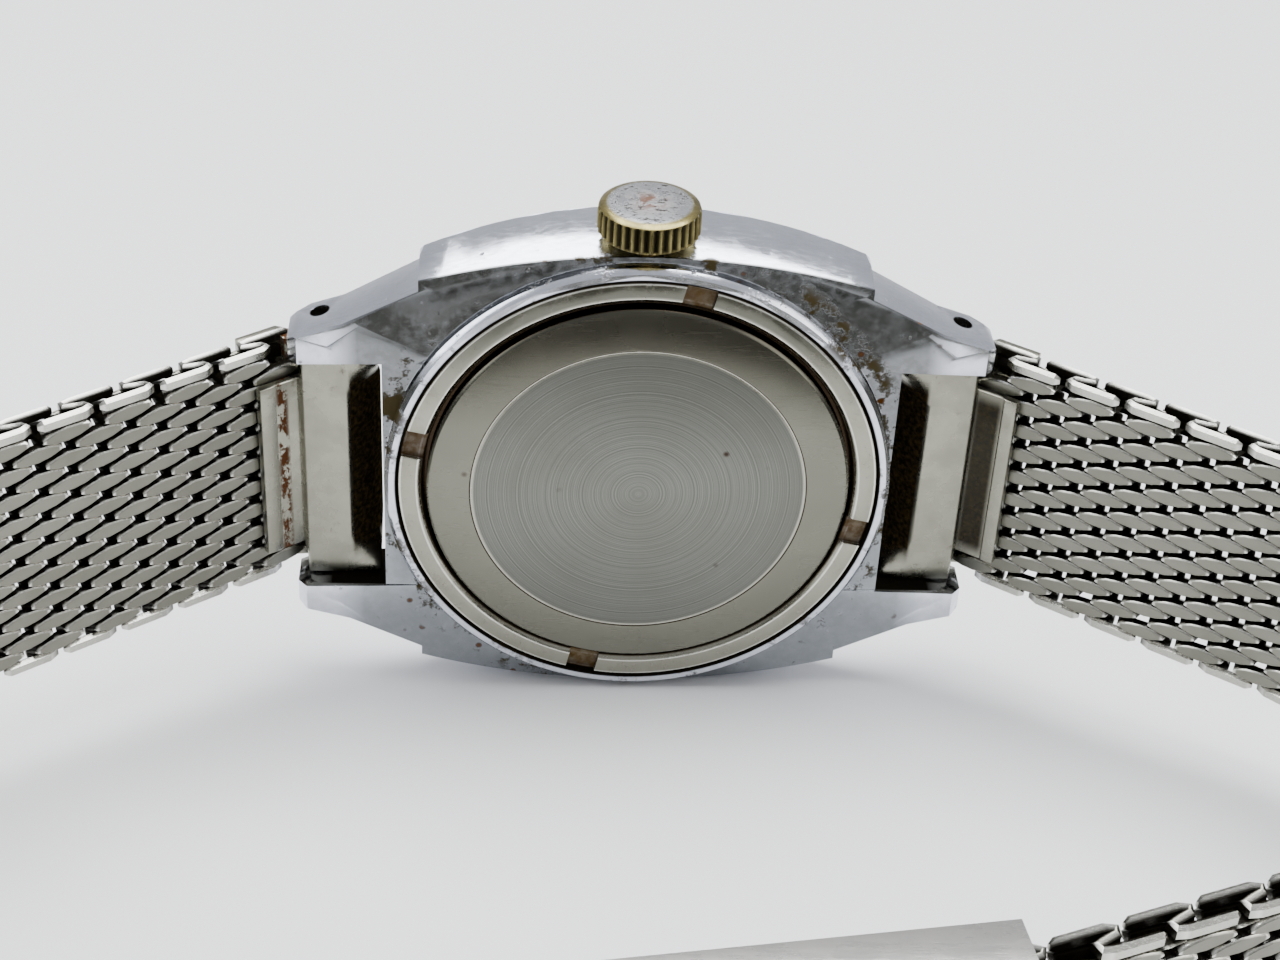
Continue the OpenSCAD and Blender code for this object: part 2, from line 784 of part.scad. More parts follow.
function clasp_place(x) = [clasp_x, clasp_z] + (x - clasp_x) * [cos(clasp_slope), -sin(clasp_slope)];

// Places along the middle of one side of the bracelet, each with the direction it faces
bend_steps = 36;
function side_places(run, r, stop) = concat([[run_start, facing(leave_angle - 90)]], [for (i = [0:bend_steps])
    let (a = leave_angle - 90 + (stop + 90 - leave_angle) * i / bend_steps)
    [run_start + run * leaving + r * (leaving_in + facing(a)), facing(a)]]);

module band(places) {
    half = mesh_t / 2;
    side_prism(mesh_w) polygon(concat([for (p = places) p[0] + half * p[1]],
        [for (i = [len(places) - 1:-1:0]) places[i][0] - half * places[i][1]]));
}

module mesh_12() {
    in_clasp = 90 - clasp_slope;
    corner = (bend_stop_12 + in_clasp) / 2;
    color([0.55, 0.55, 0.52]) band(concat(side_places(first_run, bend_r_12, bend_stop_12), [
        [[clasp_x, clasp_z], facing(corner, 1 / cos(in_clasp - corner))],
        [clasp_place(slider_x0 + 3), facing(in_clasp)]]));
}

module mesh_6() {
    end = clasp_place(-clasp_x);
    color([0.55, 0.55, 0.52]) mirror([1, 0, 0])
        band(concat(side_places(first_run_6, bend_r_6, bend_stop_6), [[[-end[0], end[1]], facing(bend_stop_6)]]));
}

module hook_end() {
    grip = mesh_t / 2 + 0.05;
    arm_y = mesh_w / 2 - 1.2;
    jaw = 3.2;
    color([0.72, 0.71, 0.67]) on_clasp() {
        translate([-clasp_x, 0, clasp_z]) side_prism(mesh_w - 0.4) difference() {
            translate([-jaw, -grip - sheet_t]) square([jaw + 0.05 + sheet_t, 2 * (grip + sheet_t)]);
            translate([-jaw - eps, -grip]) square([jaw + 0.05 + eps, 2 * grip]);
        }
        both_sides() translate([0, arm_y, 0]) side_prism(0.8) translate([-clasp_x, clasp_z - 0.3])
            square([hook_x + clasp_x, 0.6]);
        across(hook_x, clasp_z, -arm_y - 0.4, arm_y + 0.4, hook_bar_r);
    }
}

module clasp_slider() {
    low = clasp_z - mesh_t / 2 - slider_gap - sheet_t;
    high = cover_z + sheet_t;
    length = slider_x1 - slider_x0;
    color([0.78, 0.78, 0.76]) on_clasp() {
        translate([slider_x0, -slider_half_w, cover_z]) cube([length, 2 * slider_half_w, sheet_t]);
        both_sides() {
            translate([slider_x0, slider_half_w - sheet_t, low]) cube([length, sheet_t, high - low]);
            translate([slider_x0, slider_half_w - 2, low]) cube([length, 2, sheet_t]);
            difference() {
                translate([pin_x - 1, ear_y - sheet_t, high - eps]) cube([2, sheet_t, 1.75]);
                across(pin_x, pin_z, 0, 20, pin_r);
            }
        }
        translate([slider_x0 - 2.9, -6, low]) cube([6, 12, sheet_t]);
        both_sides() translate([slider_x0, 5, low]) cube([3, slider_half_w - 5, sheet_t]);
    }
}

module clasp_lever() {
    barrel = pin_r + running + 0.45;
    w = 2 * (ear_y - sheet_t - 0.1);
    color([0.78, 0.78, 0.76]) on_clasp() side_prism(w) difference() {
        union() {
            translate([pin_x, pin_z]) circle(r = barrel);
            translate([hook_x - 1, pin_z]) square([pin_x - hook_x + 1, sheet_t]);
            translate([hook_x - 1, clasp_z + 0.8]) square([sheet_t, pin_z - clasp_z - 0.79]);
        }
        translate([pin_x, pin_z]) circle(r = pin_r + running);
    }
}

module clasp_pin() {
    color("silver") on_clasp() across(pin_x, pin_z, -ear_y, ear_y, pin_r);
}

posture() {
    case_middle();
    crystal();
    dial_ring();
    back_disc();
    back_gasket();
    back_retaining_ring();
    crown_tube();
    crown();
    winding_stem();
    setting_lever();
    winding_pinion();
    sliding_clutch();
    movement_ring();
    main_plate();
    barrel_bridge();
    train_bridge();
    balance_cock();
    bridge_screws();
    mainspring_barrel();
    mainspring();
    barrel_arbor();
    ratchet_wheel();
    click();
    crown_wheel();
    centre_wheel();
    third_wheel();
    fourth_wheel();
    escape_wheel();
    pallet_fork();
    balance_wheel();
    hairspring();
    cannon_pinion();
    minute_wheel();
    hour_wheel();
    dial();
    hour_markers();
    hour_hand();
    minute_hand();
    seconds_hand();
    spring_bar_12();
    spring_bar_6();
    bar_tip_12_upper();
    bar_tip_12_lower();
    bar_tip_6_upper();
    bar_tip_6_lower();
    end_clip_12();
    end_clip_6();
    mesh_12();
    mesh_6();
    hook_end();
    clasp_slider();
    clasp_lever();
    clasp_pin();
}
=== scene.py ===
# %% [markdown]
# # A hand-wound wristwatch, seen from its case back
#
# The watch stands on the 9 o'clock edge of its case, with its crown up and its woven steel bracelet
# closed in a loop in front of it. The solid model already gives the real size and place of every
# piece. This lesson gives the pieces their looks: the worn chrome of the case, the turned grain of the
# back, the brass of the crown, and the woven wire of the bracelet, which is modelled turn by turn.

# %% Load the solid model
import json
import math

import bmesh
import bpy
from mathutils import Matrix, Vector


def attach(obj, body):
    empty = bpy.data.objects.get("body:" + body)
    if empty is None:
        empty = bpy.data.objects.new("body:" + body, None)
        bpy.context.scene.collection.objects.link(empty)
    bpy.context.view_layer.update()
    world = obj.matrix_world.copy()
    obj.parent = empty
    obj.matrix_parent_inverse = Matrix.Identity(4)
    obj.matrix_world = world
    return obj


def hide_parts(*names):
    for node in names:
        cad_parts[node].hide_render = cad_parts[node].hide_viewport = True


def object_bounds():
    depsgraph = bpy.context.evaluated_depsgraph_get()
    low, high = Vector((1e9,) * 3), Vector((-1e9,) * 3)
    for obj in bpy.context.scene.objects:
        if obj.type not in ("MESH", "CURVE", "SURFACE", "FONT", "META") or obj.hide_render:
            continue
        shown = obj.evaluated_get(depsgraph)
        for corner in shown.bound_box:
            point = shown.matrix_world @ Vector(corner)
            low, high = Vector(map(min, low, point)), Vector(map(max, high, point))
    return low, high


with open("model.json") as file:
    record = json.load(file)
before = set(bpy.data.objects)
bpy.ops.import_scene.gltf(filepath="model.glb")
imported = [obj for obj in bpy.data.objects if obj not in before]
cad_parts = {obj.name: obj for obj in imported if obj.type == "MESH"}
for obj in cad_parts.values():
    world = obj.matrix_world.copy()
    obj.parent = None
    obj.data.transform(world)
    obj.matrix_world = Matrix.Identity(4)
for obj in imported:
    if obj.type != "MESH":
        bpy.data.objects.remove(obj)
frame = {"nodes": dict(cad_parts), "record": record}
cad_low, cad_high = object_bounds()
nodes = frame["nodes"]
cad_size = [round(v * 1000, 1) for v in cad_high - cad_low]
print("pieces in the solid model:", len(nodes), "size in mm:", cad_size)

# %% [markdown]
# ## The watch's own directions
#
# The watch leans a little as it stands, because its case is wider than its bracelet. It's far easier to
# model in the watch's own directions: x to 12 o'clock, y to the crown, z out of the back, all in
# millimetres. One matrix then takes a finished piece to its place in the room. Modelling straight in
# room directions would also work, but every circle on the watch would be tilted.

# %% The standing posture
axis = Vector(next(m for m in frame["record"]["mounts"] if m["name"] == "case_back")["axis"])
LEAN = math.atan2(-axis.z, -axis.y)
POSTURE = Matrix.Rotation(math.radians(90) + LEAN, 4, "X")
TO_ROOM = POSTURE @ Matrix.Scale(0.001, 4)
print("lean in degrees:", round(math.degrees(LEAN), 2))

# %% [markdown]
# ## Camera
#
# The camera stands in front of the back, about 35 degrees above the line that points straight out of
# it, and has a long lens. Its place is given in the upright watch's directions and turned with the lean.
# A Track To constraint could aim it instead, but a matrix also fixes the slight roll.

# %% Camera
aim = Vector((0.064, 0, 1.159))
tilt, yaw, roll, distance = math.radians(35.2), math.radians(-3.9), math.radians(3.1), 158.7
back = Vector((math.sin(yaw) * math.cos(tilt), -math.cos(yaw) * math.cos(tilt), math.sin(tilt)))
right = (-back).cross(Vector((0, 0, 1))).normalized()
up = right.cross(-back)
right, up = (math.cos(roll) * right + math.sin(roll) * up, math.cos(roll) * up - math.sin(roll) * right)
turned = Matrix((right, up, back)).transposed().to_4x4()
turned.translation = (aim + distance * back) * 0.001
camera = bpy.data.objects.new("camera", bpy.data.cameras.new("camera"))
bpy.context.scene.collection.objects.link(camera)
camera.matrix_world = Matrix.Rotation(LEAN, 4, "X") @ turned
camera.data.lens = 67.5
camera.data.clip_start = 0.01
bpy.context.scene.camera = camera
print("camera at", [round(v, 3) for v in camera.matrix_world.translation])

# %% [markdown]
# ## Shader sums
#
# A finish is a recipe of numbers that vary over the surface: how deep a scratch is, how brown a stain.
# Wiring Math nodes by hand hides the recipe, so a small class wraps a socket, and ordinary Python sums
# on it add the Math nodes. Anything else comes from one method that takes a node's type, its settings
# and what goes into its sockets.

# %% A class for shader sums
OBJECT_COORDS, ATTRIBUTE_NUMBER = 3, 2
MIX_FACTOR, MIX_A, MIX_B, MIX_RESULT = 0, 6, 7, 2


class Val:
    def __init__(self, tree, socket):
        self.tree, self.socket = tree, socket

    def math(self, operation, *others, clamp=False):
        node = self.tree.nodes.new("ShaderNodeMath")
        node.operation, node.use_clamp = operation, clamp
        for i, v in enumerate((self, *others)):
            if isinstance(v, Val):
                self.tree.links.new(v.socket, node.inputs[i])
            else:
                node.inputs[i].default_value = v
        return Val(self.tree, node.outputs[0])

    def __add__(self, o): return self.math("ADD", o)
    def __radd__(self, o): return self.math("ADD", o)
    def __sub__(self, o): return self.math("SUBTRACT", o)
    def __rsub__(self, o): return (self * -1).math("ADD", o)
    def __mul__(self, o): return self.math("MULTIPLY", o)
    def __rmul__(self, o): return self.math("MULTIPLY", o)
    def root(self): return self.math("SQRT")
    def size(self): return self.math("ABSOLUTE")
    def limit(self): return self.math("ADD", 0.0, clamp=True)

    def ramp(self, low, high):
        """0 at low and 1 at high, held outside; high may be less than low."""
        return ((self - low) * (1 / (high - low))).limit()

    def band(self, middle, half, soft):
        """1 within half of the middle, falling to 0 over soft."""
        return (self - middle).size().ramp(half + soft, half)


class Finish:
    """A material whose surface is one Principled shader."""

    def __init__(self, name, colour, metal=1.0, rough=0.3, **fixed):
        self.material = bpy.data.materials.new(name)
        self.material.use_nodes = True
        self.tree = self.material.node_tree
        self.shader = self.tree.nodes["Principled BSDF"]
        self.put("Base Color", (*colour, 1))
        self.put("Metallic", metal)
        self.put("Roughness", rough)
        for socket, value in fixed.items():
            self.put(socket.replace("_", " "), value)

    def put(self, socket, value):
        target = self.shader.inputs[socket]
        if isinstance(value, Val):
            self.tree.links.new(value.socket, target)
        else:
            target.default_value = value

    def node(self, kind, settings=None, out=0, **sockets):
        made = self.tree.nodes.new("ShaderNode" + kind)
        for setting, value in (settings or {}).items():
            setattr(made, setting, value)
        for socket, value in sockets.items():
            if isinstance(value, Val):
                self.tree.links.new(value.socket, made.inputs[socket])
            else:
                made.inputs[socket].default_value = value
        return Val(self.tree, made.outputs[out])

    def place(self, centre=(0, 0, 0), stretch=(1, 1, 1)):
        """A point in the watch's own directions, in millimetres from centre."""
        coords = self.node("TexCoord", out=OBJECT_COORDS)
        turned = self.node("Mapping", {"vector_type": "POINT"}, Vector=coords, Scale=(1000,) * 3,
                           Rotation=(-math.radians(90) - LEAN, 0, 0))
        return self.node("Mapping", {"vector_type": "POINT"}, Vector=turned, Scale=stretch,
                         Location=[-c * s for c, s in zip(centre, stretch)])

    def parts(self, vector):
        made = self.tree.nodes.new("ShaderNodeSeparateXYZ")
        self.tree.links.new(vector.socket, made.inputs[0])
        return [Val(self.tree, s) for s in made.outputs]

    def noise(self, vector, scale, detail=3, rough=0.55, bend=0.0):
        fixed = {"Scale": scale, "Detail": detail, "Roughness": rough, "Distortion": bend}
        return self.node("TexNoise", Vector=vector, **fixed)

    def line_noise(self, value, scale, detail=2, rough=0.6):
        fixed = {"Scale": scale, "Detail": detail, "Roughness": rough}
        return self.node("TexNoise", {"noise_dimensions": "1D"}, W=value, **fixed)

    def spots(self, vector, scale):
        """Distance from scattered points, 0 at each."""
        return self.node("TexVoronoi", Vector=vector, Scale=scale)

    def mix(self, factor, a, b):
        """Colour a where factor is 0 and colour b where it is 1."""
        made = self.tree.nodes.new("ShaderNodeMix")
        made.data_type = "RGBA"
        for socket, value in ((MIX_FACTOR, factor), (MIX_A, a), (MIX_B, b)):
            if isinstance(value, Val):
                self.tree.links.new(value.socket, made.inputs[socket])
            else:
                made.inputs[socket].default_value = (*value, 1)
        return Val(self.tree, made.outputs[MIX_RESULT])

    def bump(self, *heights):
        """Each height is (value, depth in millimetres, strength)."""
        normal = None
        for value, depth, strength in heights:
            more = {} if normal is None else {"Normal": normal}
            normal = self.node("Bump", Height=value, Distance=depth * 0.001, Strength=strength, **more)
        self.put("Normal", normal)
        return self

    def matte(self, mask, colour):
        """A dull shader over the metal where mask is 1, for dirt and for painted shade."""
        dull = self.node("BsdfDiffuse", Color=colour if isinstance(colour, Val) else (*colour, 1))
        blend = self.tree.nodes.new("ShaderNodeMixShader")
        for target, source in zip(blend.inputs, (mask.socket, self.shader.outputs[0], dull.socket)):
            self.tree.links.new(source, target)
        self.tree.links.new(blend.outputs[0], self.tree.nodes["Material Output"].inputs["Surface"])

    def on(self, *objects):
        for o in objects:
            o.data.materials.clear()
            o.data.materials.append(self.material)


def wear(f, spot, scale):
    """Two sizes of blotch, from 0 to 1, that most finishes share."""
    return f.noise(spot, scale, 4).ramp(0.35, 0.65), f.noise(spot, scale * 6, 3).ramp(0.4, 0.7)


print("shader helpers ready")

# %% [markdown]
# ## Floor and light
#
# The watch stands on a pale sheet that curves up behind it. The sheet is a plane whose back edge is
# extruded upwards and whose corner is bevelled, which is quicker than bending a plane and has no seam.
# Metal shows what is around it more than its own colour, so the light is a few big soft panels, with
# some darker room left between them. A single sun would leave the flat back either burnt or black.

# %% Working helpers and the floor
def alone():
    if bpy.context.object and bpy.context.object.mode != "OBJECT":
        bpy.ops.object.mode_set(mode="OBJECT")
    bpy.ops.object.select_all(action="DESELECT")


def pick(piece):
    alone()
    piece.select_set(True)
    bpy.context.view_layer.objects.active = piece


def editing(piece):
    pick(piece)
    bpy.ops.object.mode_set(mode="EDIT")
    bpy.ops.mesh.select_mode(type="VERT")
    return bmesh.from_edit_mesh(piece.data)


def select_where(cells, test):
    """Selects the vertices, edges or faces that pass the test and nothing else."""
    bpy.ops.mesh.select_all(action="DESELECT")
    bm = bmesh.from_edit_mesh(bpy.context.object.data)
    for cell in [c for c in getattr(bm, cells) if test(c)]:
        cell.select_set(True)
    bm.select_flush_mode()
    bmesh.update_edit_mesh(bpy.context.object.data)


SHEET_W, SHEET_RISE, SHEET_BEND, SHEET_BACK = 2.4, 1.4, 0.5, 0.2

alone()
bpy.ops.mesh.primitive_plane_add(size=SHEET_W, location=(0, SHEET_BACK, cad_low.z))
floor = bpy.context.object
floor.name = "floor_sheet"
editing(floor)
bpy.ops.mesh.select_mode(type="EDGE")
at_back = SHEET_W / 2 - 0.01
select_where("edges", lambda e: all(v.co.y > at_back for v in e.verts))
bpy.ops.mesh.extrude_region_move(TRANSFORM_OT_translate={"value": (0, 0, SHEET_RISE)})
select_where("edges", lambda e: all(v.co.y > at_back and abs(v.co.z) < 0.01 for v in e.verts))
bpy.ops.mesh.bevel(offset=SHEET_BEND, segments=16)
bpy.ops.object.mode_set(mode="OBJECT")
bpy.ops.object.transform_apply(location=True)
bpy.ops.object.shade_smooth()

pale = Finish("pale floor sheet", (0.84, 0.84, 0.845), metal=0.0, rough=0.32)
cloud, _ = wear(pale, pale.node("TexCoord", out=OBJECT_COORDS), 6)
pale.put("Roughness", 0.30 + cloud * 0.08)
pale.put("Base Color", pale.mix(cloud * 0.5, (0.84, 0.84, 0.845), (0.81, 0.81, 0.82)))
pale.on(floor)
print("floor at", round(cad_low.z * 1000, 2), "mm")


# %% Light panels
def panel(name, place, target, size, watts, colour):
    light = bpy.data.lights.new(name, "AREA")
    light.shape, light.size, light.size_y = "RECTANGLE", size[0], size[1]
    light.energy, light.color = watts, colour
    lamp = bpy.data.objects.new(name, light)
    bpy.context.scene.collection.objects.link(lamp)
    lamp.location = place
    lamp.rotation_euler = (Vector(target) - Vector(place)).to_track_quat("-Z", "Y").to_euler()


panel("overhead panel", (0.05, 0.10, 0.75), (0, 0, 0), (0.9, 0.6), 17.0, (0.97, 0.985, 1.0))
panel("left window", (-0.75, -0.15, 0.42), (0, -0.01, 0), (0.35, 0.6), 3.2, (0.95, 0.98, 1.0))
panel("right panel", (0.7, -0.35, 0.30), (0, -0.01, 0), (0.35, 0.5), 1.8, (1.0, 0.985, 0.96))

world = bpy.data.worlds.new("room")
bpy.context.scene.world = world
world.use_nodes = True
world.node_tree.nodes["Background"].inputs["Color"].default_value = (0.80, 0.82, 0.85, 1)
world.node_tree.nodes["Background"].inputs["Strength"].default_value = 0.80

# %% [markdown]
# ## Edges that catch the light
#
# A solid model's edges are perfectly sharp, and a sharp edge can't glint. Real edges are rounded by
# polishing and wear. A copy of each visible hard piece has its loose triangles merged and its flat
# faces joined again, and then a small bevel rounds its edges. The bevel could be painted by a shader
# instead, but a real one also changes the outline.

# %% Softened copies
FLAT_WITHIN, SHARP_OVER, SMOOTH_UNDER = math.radians(1.5), math.radians(30), math.radians(32)


def softened(name, width):
    """A copy of a solid piece with its edges rounded by width millimetres."""
    alone()
    piece = bpy.data.objects.new(name + "_worn", nodes[name].data.copy())
    bpy.context.scene.collection.objects.link(piece)
    editing(piece)
    bpy.ops.mesh.select_all(action="SELECT")
    bpy.ops.mesh.remove_doubles(threshold=2e-6)
    bpy.ops.mesh.dissolve_limited(angle_limit=FLAT_WITHIN)
    bpy.ops.object.mode_set(mode="OBJECT")
    bpy.ops.mesh.customdata_custom_splitnormals_clear()
    bevel = piece.modifiers.new("worn edge", "BEVEL")
    bevel.width, bevel.segments = width * 0.001, 2
    bevel.limit_method, bevel.angle_limit = "ANGLE", SHARP_OVER
    bevel.miter_outer = "MITER_ARC"
    bpy.ops.object.modifier_apply(modifier=bevel.name)
    bpy.ops.object.shade_smooth_by_angle(angle=SMOOTH_UNDER)
    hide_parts(name)
    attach(piece, piece_body[name])
    return piece


bodies = frame["record"]["behaviour"]["bodies"]
piece_body = {name: body for body, members in bodies.items() for name in members}
EDGE_WIDTHS = {"case_middle": 0.10, "back_disc": 0.05, "back_retaining_ring": 0.07, "hook_end": 0.08,
               "clasp_slider": 0.10, "clasp_lever": 0.10}
worn = {}
for name, width in EDGE_WIDTHS.items():
    worn[name] = softened(name, width)
    print(name, "faces:", len(worn[name].data.polygons))

# %% [markdown]
# ## End clips
#
# A folded sheet joins each half of the bracelet to its spring bar. Its tab lies on the mesh, a flat rib
# covers the bar, and on the case's side the sheet is scooped down, with an ear left at each end. The
# solid model has the plain fold. Here a single edge is extruded along the fold's outline, cut across
# with bisect, and at the ears scaled up towards the rib. Solidify then gives the sheet its thickness.
# A boolean cut would also make the scoop, but would leave its wall as thick as the solid fold.

# %% End clip sheet
CLIP_W, TAB_W, SHEET_T, RIB_Z = 17.6, 13.2, 0.36, -2.68
LEAVE = math.radians(35.3)
TAB_FOOT_X, TAB_FOOT_Z = 23, -3.6
SCOOP = [(17.25, -6.0), (17.45, -5.2), (17.85, -4.35), (18.4, -3.6), (18.95, -3.0)]
RIB_FROM, RIB_TO, TAB_FROM = 19.3, 22.1, 22.38
EAR_CUTS = (5.6, 6.65, 7.35, 7.95, 8.45)
EARS = ((6.6, 0.66), (7.3, 0.5), (7.9, 0.5), (8.4, 0.7))    # how far out, and the share of height kept


def on_mesh(d, off):
    """A point of the fold that lies d along the leaving mesh and off above it."""
    return (TAB_FOOT_X + d * math.cos(LEAVE) - off * math.sin(LEAVE),
            TAB_FOOT_Z + d * math.sin(LEAVE) + off * math.cos(LEAVE))


def clip_sheet(name, dip):
    """The seen side of the clip at 12 o'clock; dip is how far its tab is hollowed."""
    tab = [on_mesh(-0.3, 0.50), on_mesh(0.5, 0.62 - dip), on_mesh(1.3, 0.64 - dip), on_mesh(1.75, 0.66),
           on_mesh(2.6, 0.62)]
    fold = SCOOP + [(RIB_FROM, RIB_Z), (RIB_TO, RIB_Z), (TAB_FROM, -2.95)] + tab
    alone()
    bpy.ops.mesh.primitive_plane_add(size=CLIP_W)
    sheet = bpy.context.object
    sheet.name = name
    editing(sheet)
    select_where("verts", lambda v: v.co.x > 0)
    bpy.ops.mesh.delete(type="VERT")
    bpy.ops.mesh.select_all(action="SELECT")
    bpy.ops.transform.translate(value=(fold[0][0] + CLIP_W / 2, 0, fold[0][1]))
    for (x0, z0), (x1, z1) in zip(fold, fold[1:]):
        bpy.ops.mesh.extrude_region_move(TRANSFORM_OT_translate={"value": (x1 - x0, 0, z1 - z0)})
    select_where("verts", lambda v: v.co.x > TAB_FROM - 0.02)
    bpy.ops.transform.resize(value=(1, TAB_W / CLIP_W, 1), center_override=(0, 0, 0))
    for cut in sorted({0.0, *EAR_CUTS, *(-cut for cut in EAR_CUTS)}):
        bpy.ops.mesh.select_all(action="SELECT")
        bpy.ops.mesh.bisect(plane_co=(0, cut, 0), plane_no=(0, 1, 0))
    for reach, share in EARS:
        select_where("verts", lambda v: abs(v.co.y) > reach and v.co.x < RIB_FROM - 0.1)
        bpy.ops.transform.resize(value=(1, 1, share), center_override=(0, 0, RIB_Z))
    bpy.ops.mesh.select_all(action="SELECT")
    bpy.ops.mesh.normals_make_consistent(inside=False)
    bpy.ops.object.mode_set(mode="OBJECT")
    if sum(f.normal.z * f.area for f in sheet.data.polygons) < 0:
        sheet.data.flip_normals()
    thick = sheet.modifiers.new("sheet", "SOLIDIFY")
    thick.thickness, thick.offset = SHEET_T, -1
    bpy.ops.object.modifier_apply(modifier=thick.name)
    edge = sheet.modifiers.new("edge", "BEVEL")
    edge.width, edge.segments = 0.07, 2
    edge.limit_method, edge.angle_limit = "ANGLE", math.radians(40)
    bpy.ops.object.modifier_apply(modifier=edge.name)
    return sheet


def end_clip(node, side, dip):
    """The solid fold outside the scoop, joined with the thin sheet; side is 1 at 12 o'clock and -1 at 6."""
    piece = softened(node, 0.07)
    editing(piece)
    bpy.ops.mesh.select_all(action="SELECT")
    cut = TO_ROOM @ Vector((side * RIB_FROM, 0, 0))
    bpy.ops.mesh.bisect(plane_co=cut, plane_no=(side, 0, 0), clear_inner=True, use_fill=True)
    bpy.ops.object.mode_set(mode="OBJECT")
    sheet = clip_sheet(node + "_sheet", dip)
    sheet.data.transform(TO_ROOM @ Matrix.Scale(side, 4, (1, 0, 0)))
    if side < 0:
        sheet.data.flip_normals()
    pick(sheet)
    piece.select_set(True)
    bpy.context.view_layer.objects.active = piece
    bpy.ops.object.join()
    bpy.ops.object.shade_smooth_by_angle(angle=math.radians(38))
    worn[node] = piece
    print(node, "faces:", len(piece.data.polygons))


end_clip("end_clip_12", 1, 0.34)
end_clip("end_clip_6", -1, 0.10)

# %% [markdown]
# ## Woven bracelet
#
# The bracelet is woven wire: flat spirals lie across it, each hooked into the next, and both faces are
# then ground flat. So each strand shows a pointed oval flat with a bright rounded side. A picture of
# that pattern on a flat strip would look printed, and its edges would be straight. Here one turn of
# wire is extruded ring by ring, an array repeats it into a spiral, and copies of the spiral follow the
# bracelet's centre line.

# %% One turn of wire
BAND_W = 18.4                        # over the edge links
PITCH = 1.84                         # from turn to turn, across the band
GROUND = 1.06                        # height of the ground flats above the band's middle
STATIONS = (-1.66, -1.40, -0.85, 0.0, 0.85, 1.40, 1.66)
FLAT_LONG, FLAT_HALF = 1.74, 0.43    # half length and half width of a flat
DRIFT = 0.12                         # how far across a strand strays at its end
ROUND = 0.10                         # how far the side stands out from the flat, and below it
UNDER_W, UNDER_H, UNDER_SHARE = 0.46, 0.35, 0.92    # the strand's underside, a little shorter
BEND = ((-1.93, 0.24), (-1.93, -0.24), (-1.84, -0.36), (-1.50, -0.28), (-1.50, 0.28), (-1.84, 0.36))


def strand_rings():
    """Rings of six points, from the bend along half a turn: along the band, across it, out of it."""
    rings = [[(s, w + 0.02 - PITCH / 4, 0.0) for s, w in BEND]]
    low = GROUND - ROUND
    for s in STATIONS:
        w = DRIFT * s / STATIONS[-1]
        top = FLAT_HALF * (1 - (s / FLAT_LONG) ** 2)
        side, under = top + ROUND, s * UNDER_SHARE
        rings.append([(s, w + top, GROUND), (s, w - top, GROUND), (s, w - side, low),
                      (under, w - UNDER_W, UNDER_H), (under, w + UNDER_W, UNDER_H), (s, w + side, low)])
    return rings


def swept(name, rings):
    """A tube through rings of points, extruded one ring at a time."""
    alone()
    bpy.ops.mesh.primitive_circle_add(vertices=len(rings[0]), radius=0.4)
    tube = bpy.context.object
    tube.name = name
    bm = editing(tube)
    bm.verts.ensure_lookup_table()
    for v, p in zip(bm.verts, rings[0]):
        v.co = p
    for ring in rings[1:]:
        bpy.ops.mesh.extrude_region_move()
        bm = bmesh.from_edit_mesh(tube.data)
        bm.verts.ensure_lookup_table()
        for v, p in zip([v for v in bm.verts if v.select], ring):
            v.co = p
        bmesh.update_edit_mesh(tube.data)
        bm.verts.index_update()
    bpy.ops.mesh.select_all(action="SELECT")
    bpy.ops.mesh.normals_make_consistent(inside=False)
    bpy.ops.object.mode_set(mode="OBJECT")
    return tube


half_turn_rings = strand_rings()
other_half = [[(-s, w + PITCH / 2, -h) for s, w, h in ring] for ring in half_turn_rings]
closing = [(s, w + PITCH, h) for s, w, h in half_turn_rings[0]]
turn = swept("turn", half_turn_rings + other_half + [closing])
print("one turn of wire:", len(turn.data.polygons), "faces")

# %% [markdown]
# ## From a turn to a spiral
#
# An array whose ends merge makes the spiral from the turn. Extruding all the turns in one go would give the
# same wire from nine times as many rings. A number is stored on every point: 1 on the ground flats, less down
# the sides, 0 inside. The finish reads it to paint the gaps near black, as grease and as painted shade, and
# to keep that off the flats. A second spiral, half a pitch across, is what the first one hooks into.

# %% Spirals
TURNS = 9
FIRST_TURN = -PITCH * 4.25
LAST_W = BAND_W / 2 - 0.75           # no turn reaches past this, where the links begin


def set_crest(piece, value):
    crest = piece.data.attributes.new("crest", "FLOAT", "POINT")
    crest.data.foreach_set("value", [min(1.0, max(0.0, value(v.co))) for v in piece.data.vertices])


def close_ends():
    select_where("edges", lambda e: len(e.link_faces) == 1)
    bpy.ops.mesh.fill_holes(sides=0)
    bpy.ops.mesh.select_all(action="SELECT")
    bpy.ops.mesh.normals_make_consistent(inside=False)
    bpy.ops.object.mode_set(mode="OBJECT")


def spiral_crest(co):
    """1 on the flats, a little less where the strands end, down to 0 near the band's middle."""
    # The number is lower where the strands end, so the finish paints shade on their tips.
    at_end = 0.82 if abs(co.x) > 1.6 else 1.0
    return (abs(co.z) - 0.25) / (GROUND - 0.27) * at_end


def spiral(first, name):
    alone()
    coil = bpy.data.objects.new(name, turn.data.copy())
    bpy.context.scene.collection.objects.link(coil)
    pick(coil)
    rows = coil.modifiers.new("turns", "ARRAY")
    rows.count, rows.use_relative_offset, rows.use_constant_offset = TURNS, False, True
    rows.constant_offset_displace = (0, PITCH, 0)
    rows.use_merge_vertices, rows.merge_threshold = True, 0.001
    bpy.ops.object.modifier_apply(modifier=rows.name)
    editing(coil)
    bpy.ops.mesh.select_all(action="SELECT")
    bpy.ops.transform.translate(value=(0, first, 0))
    select_where("verts", lambda v: v.co.y > LAST_W)
    bpy.ops.mesh.delete(type="VERT")
    close_ends()
    set_crest(coil, spiral_crest)
    widths = [v.co.y for v in coil.data.vertices]
    print(name, "faces:", len(coil.data.polygons), "from", round(min(widths), 2), "to", round(max(widths), 2))
    return coil


spirals = [spiral(FIRST_TURN, "spiral_first"), spiral(FIRST_TURN + PITCH / 2, "spiral_second")]

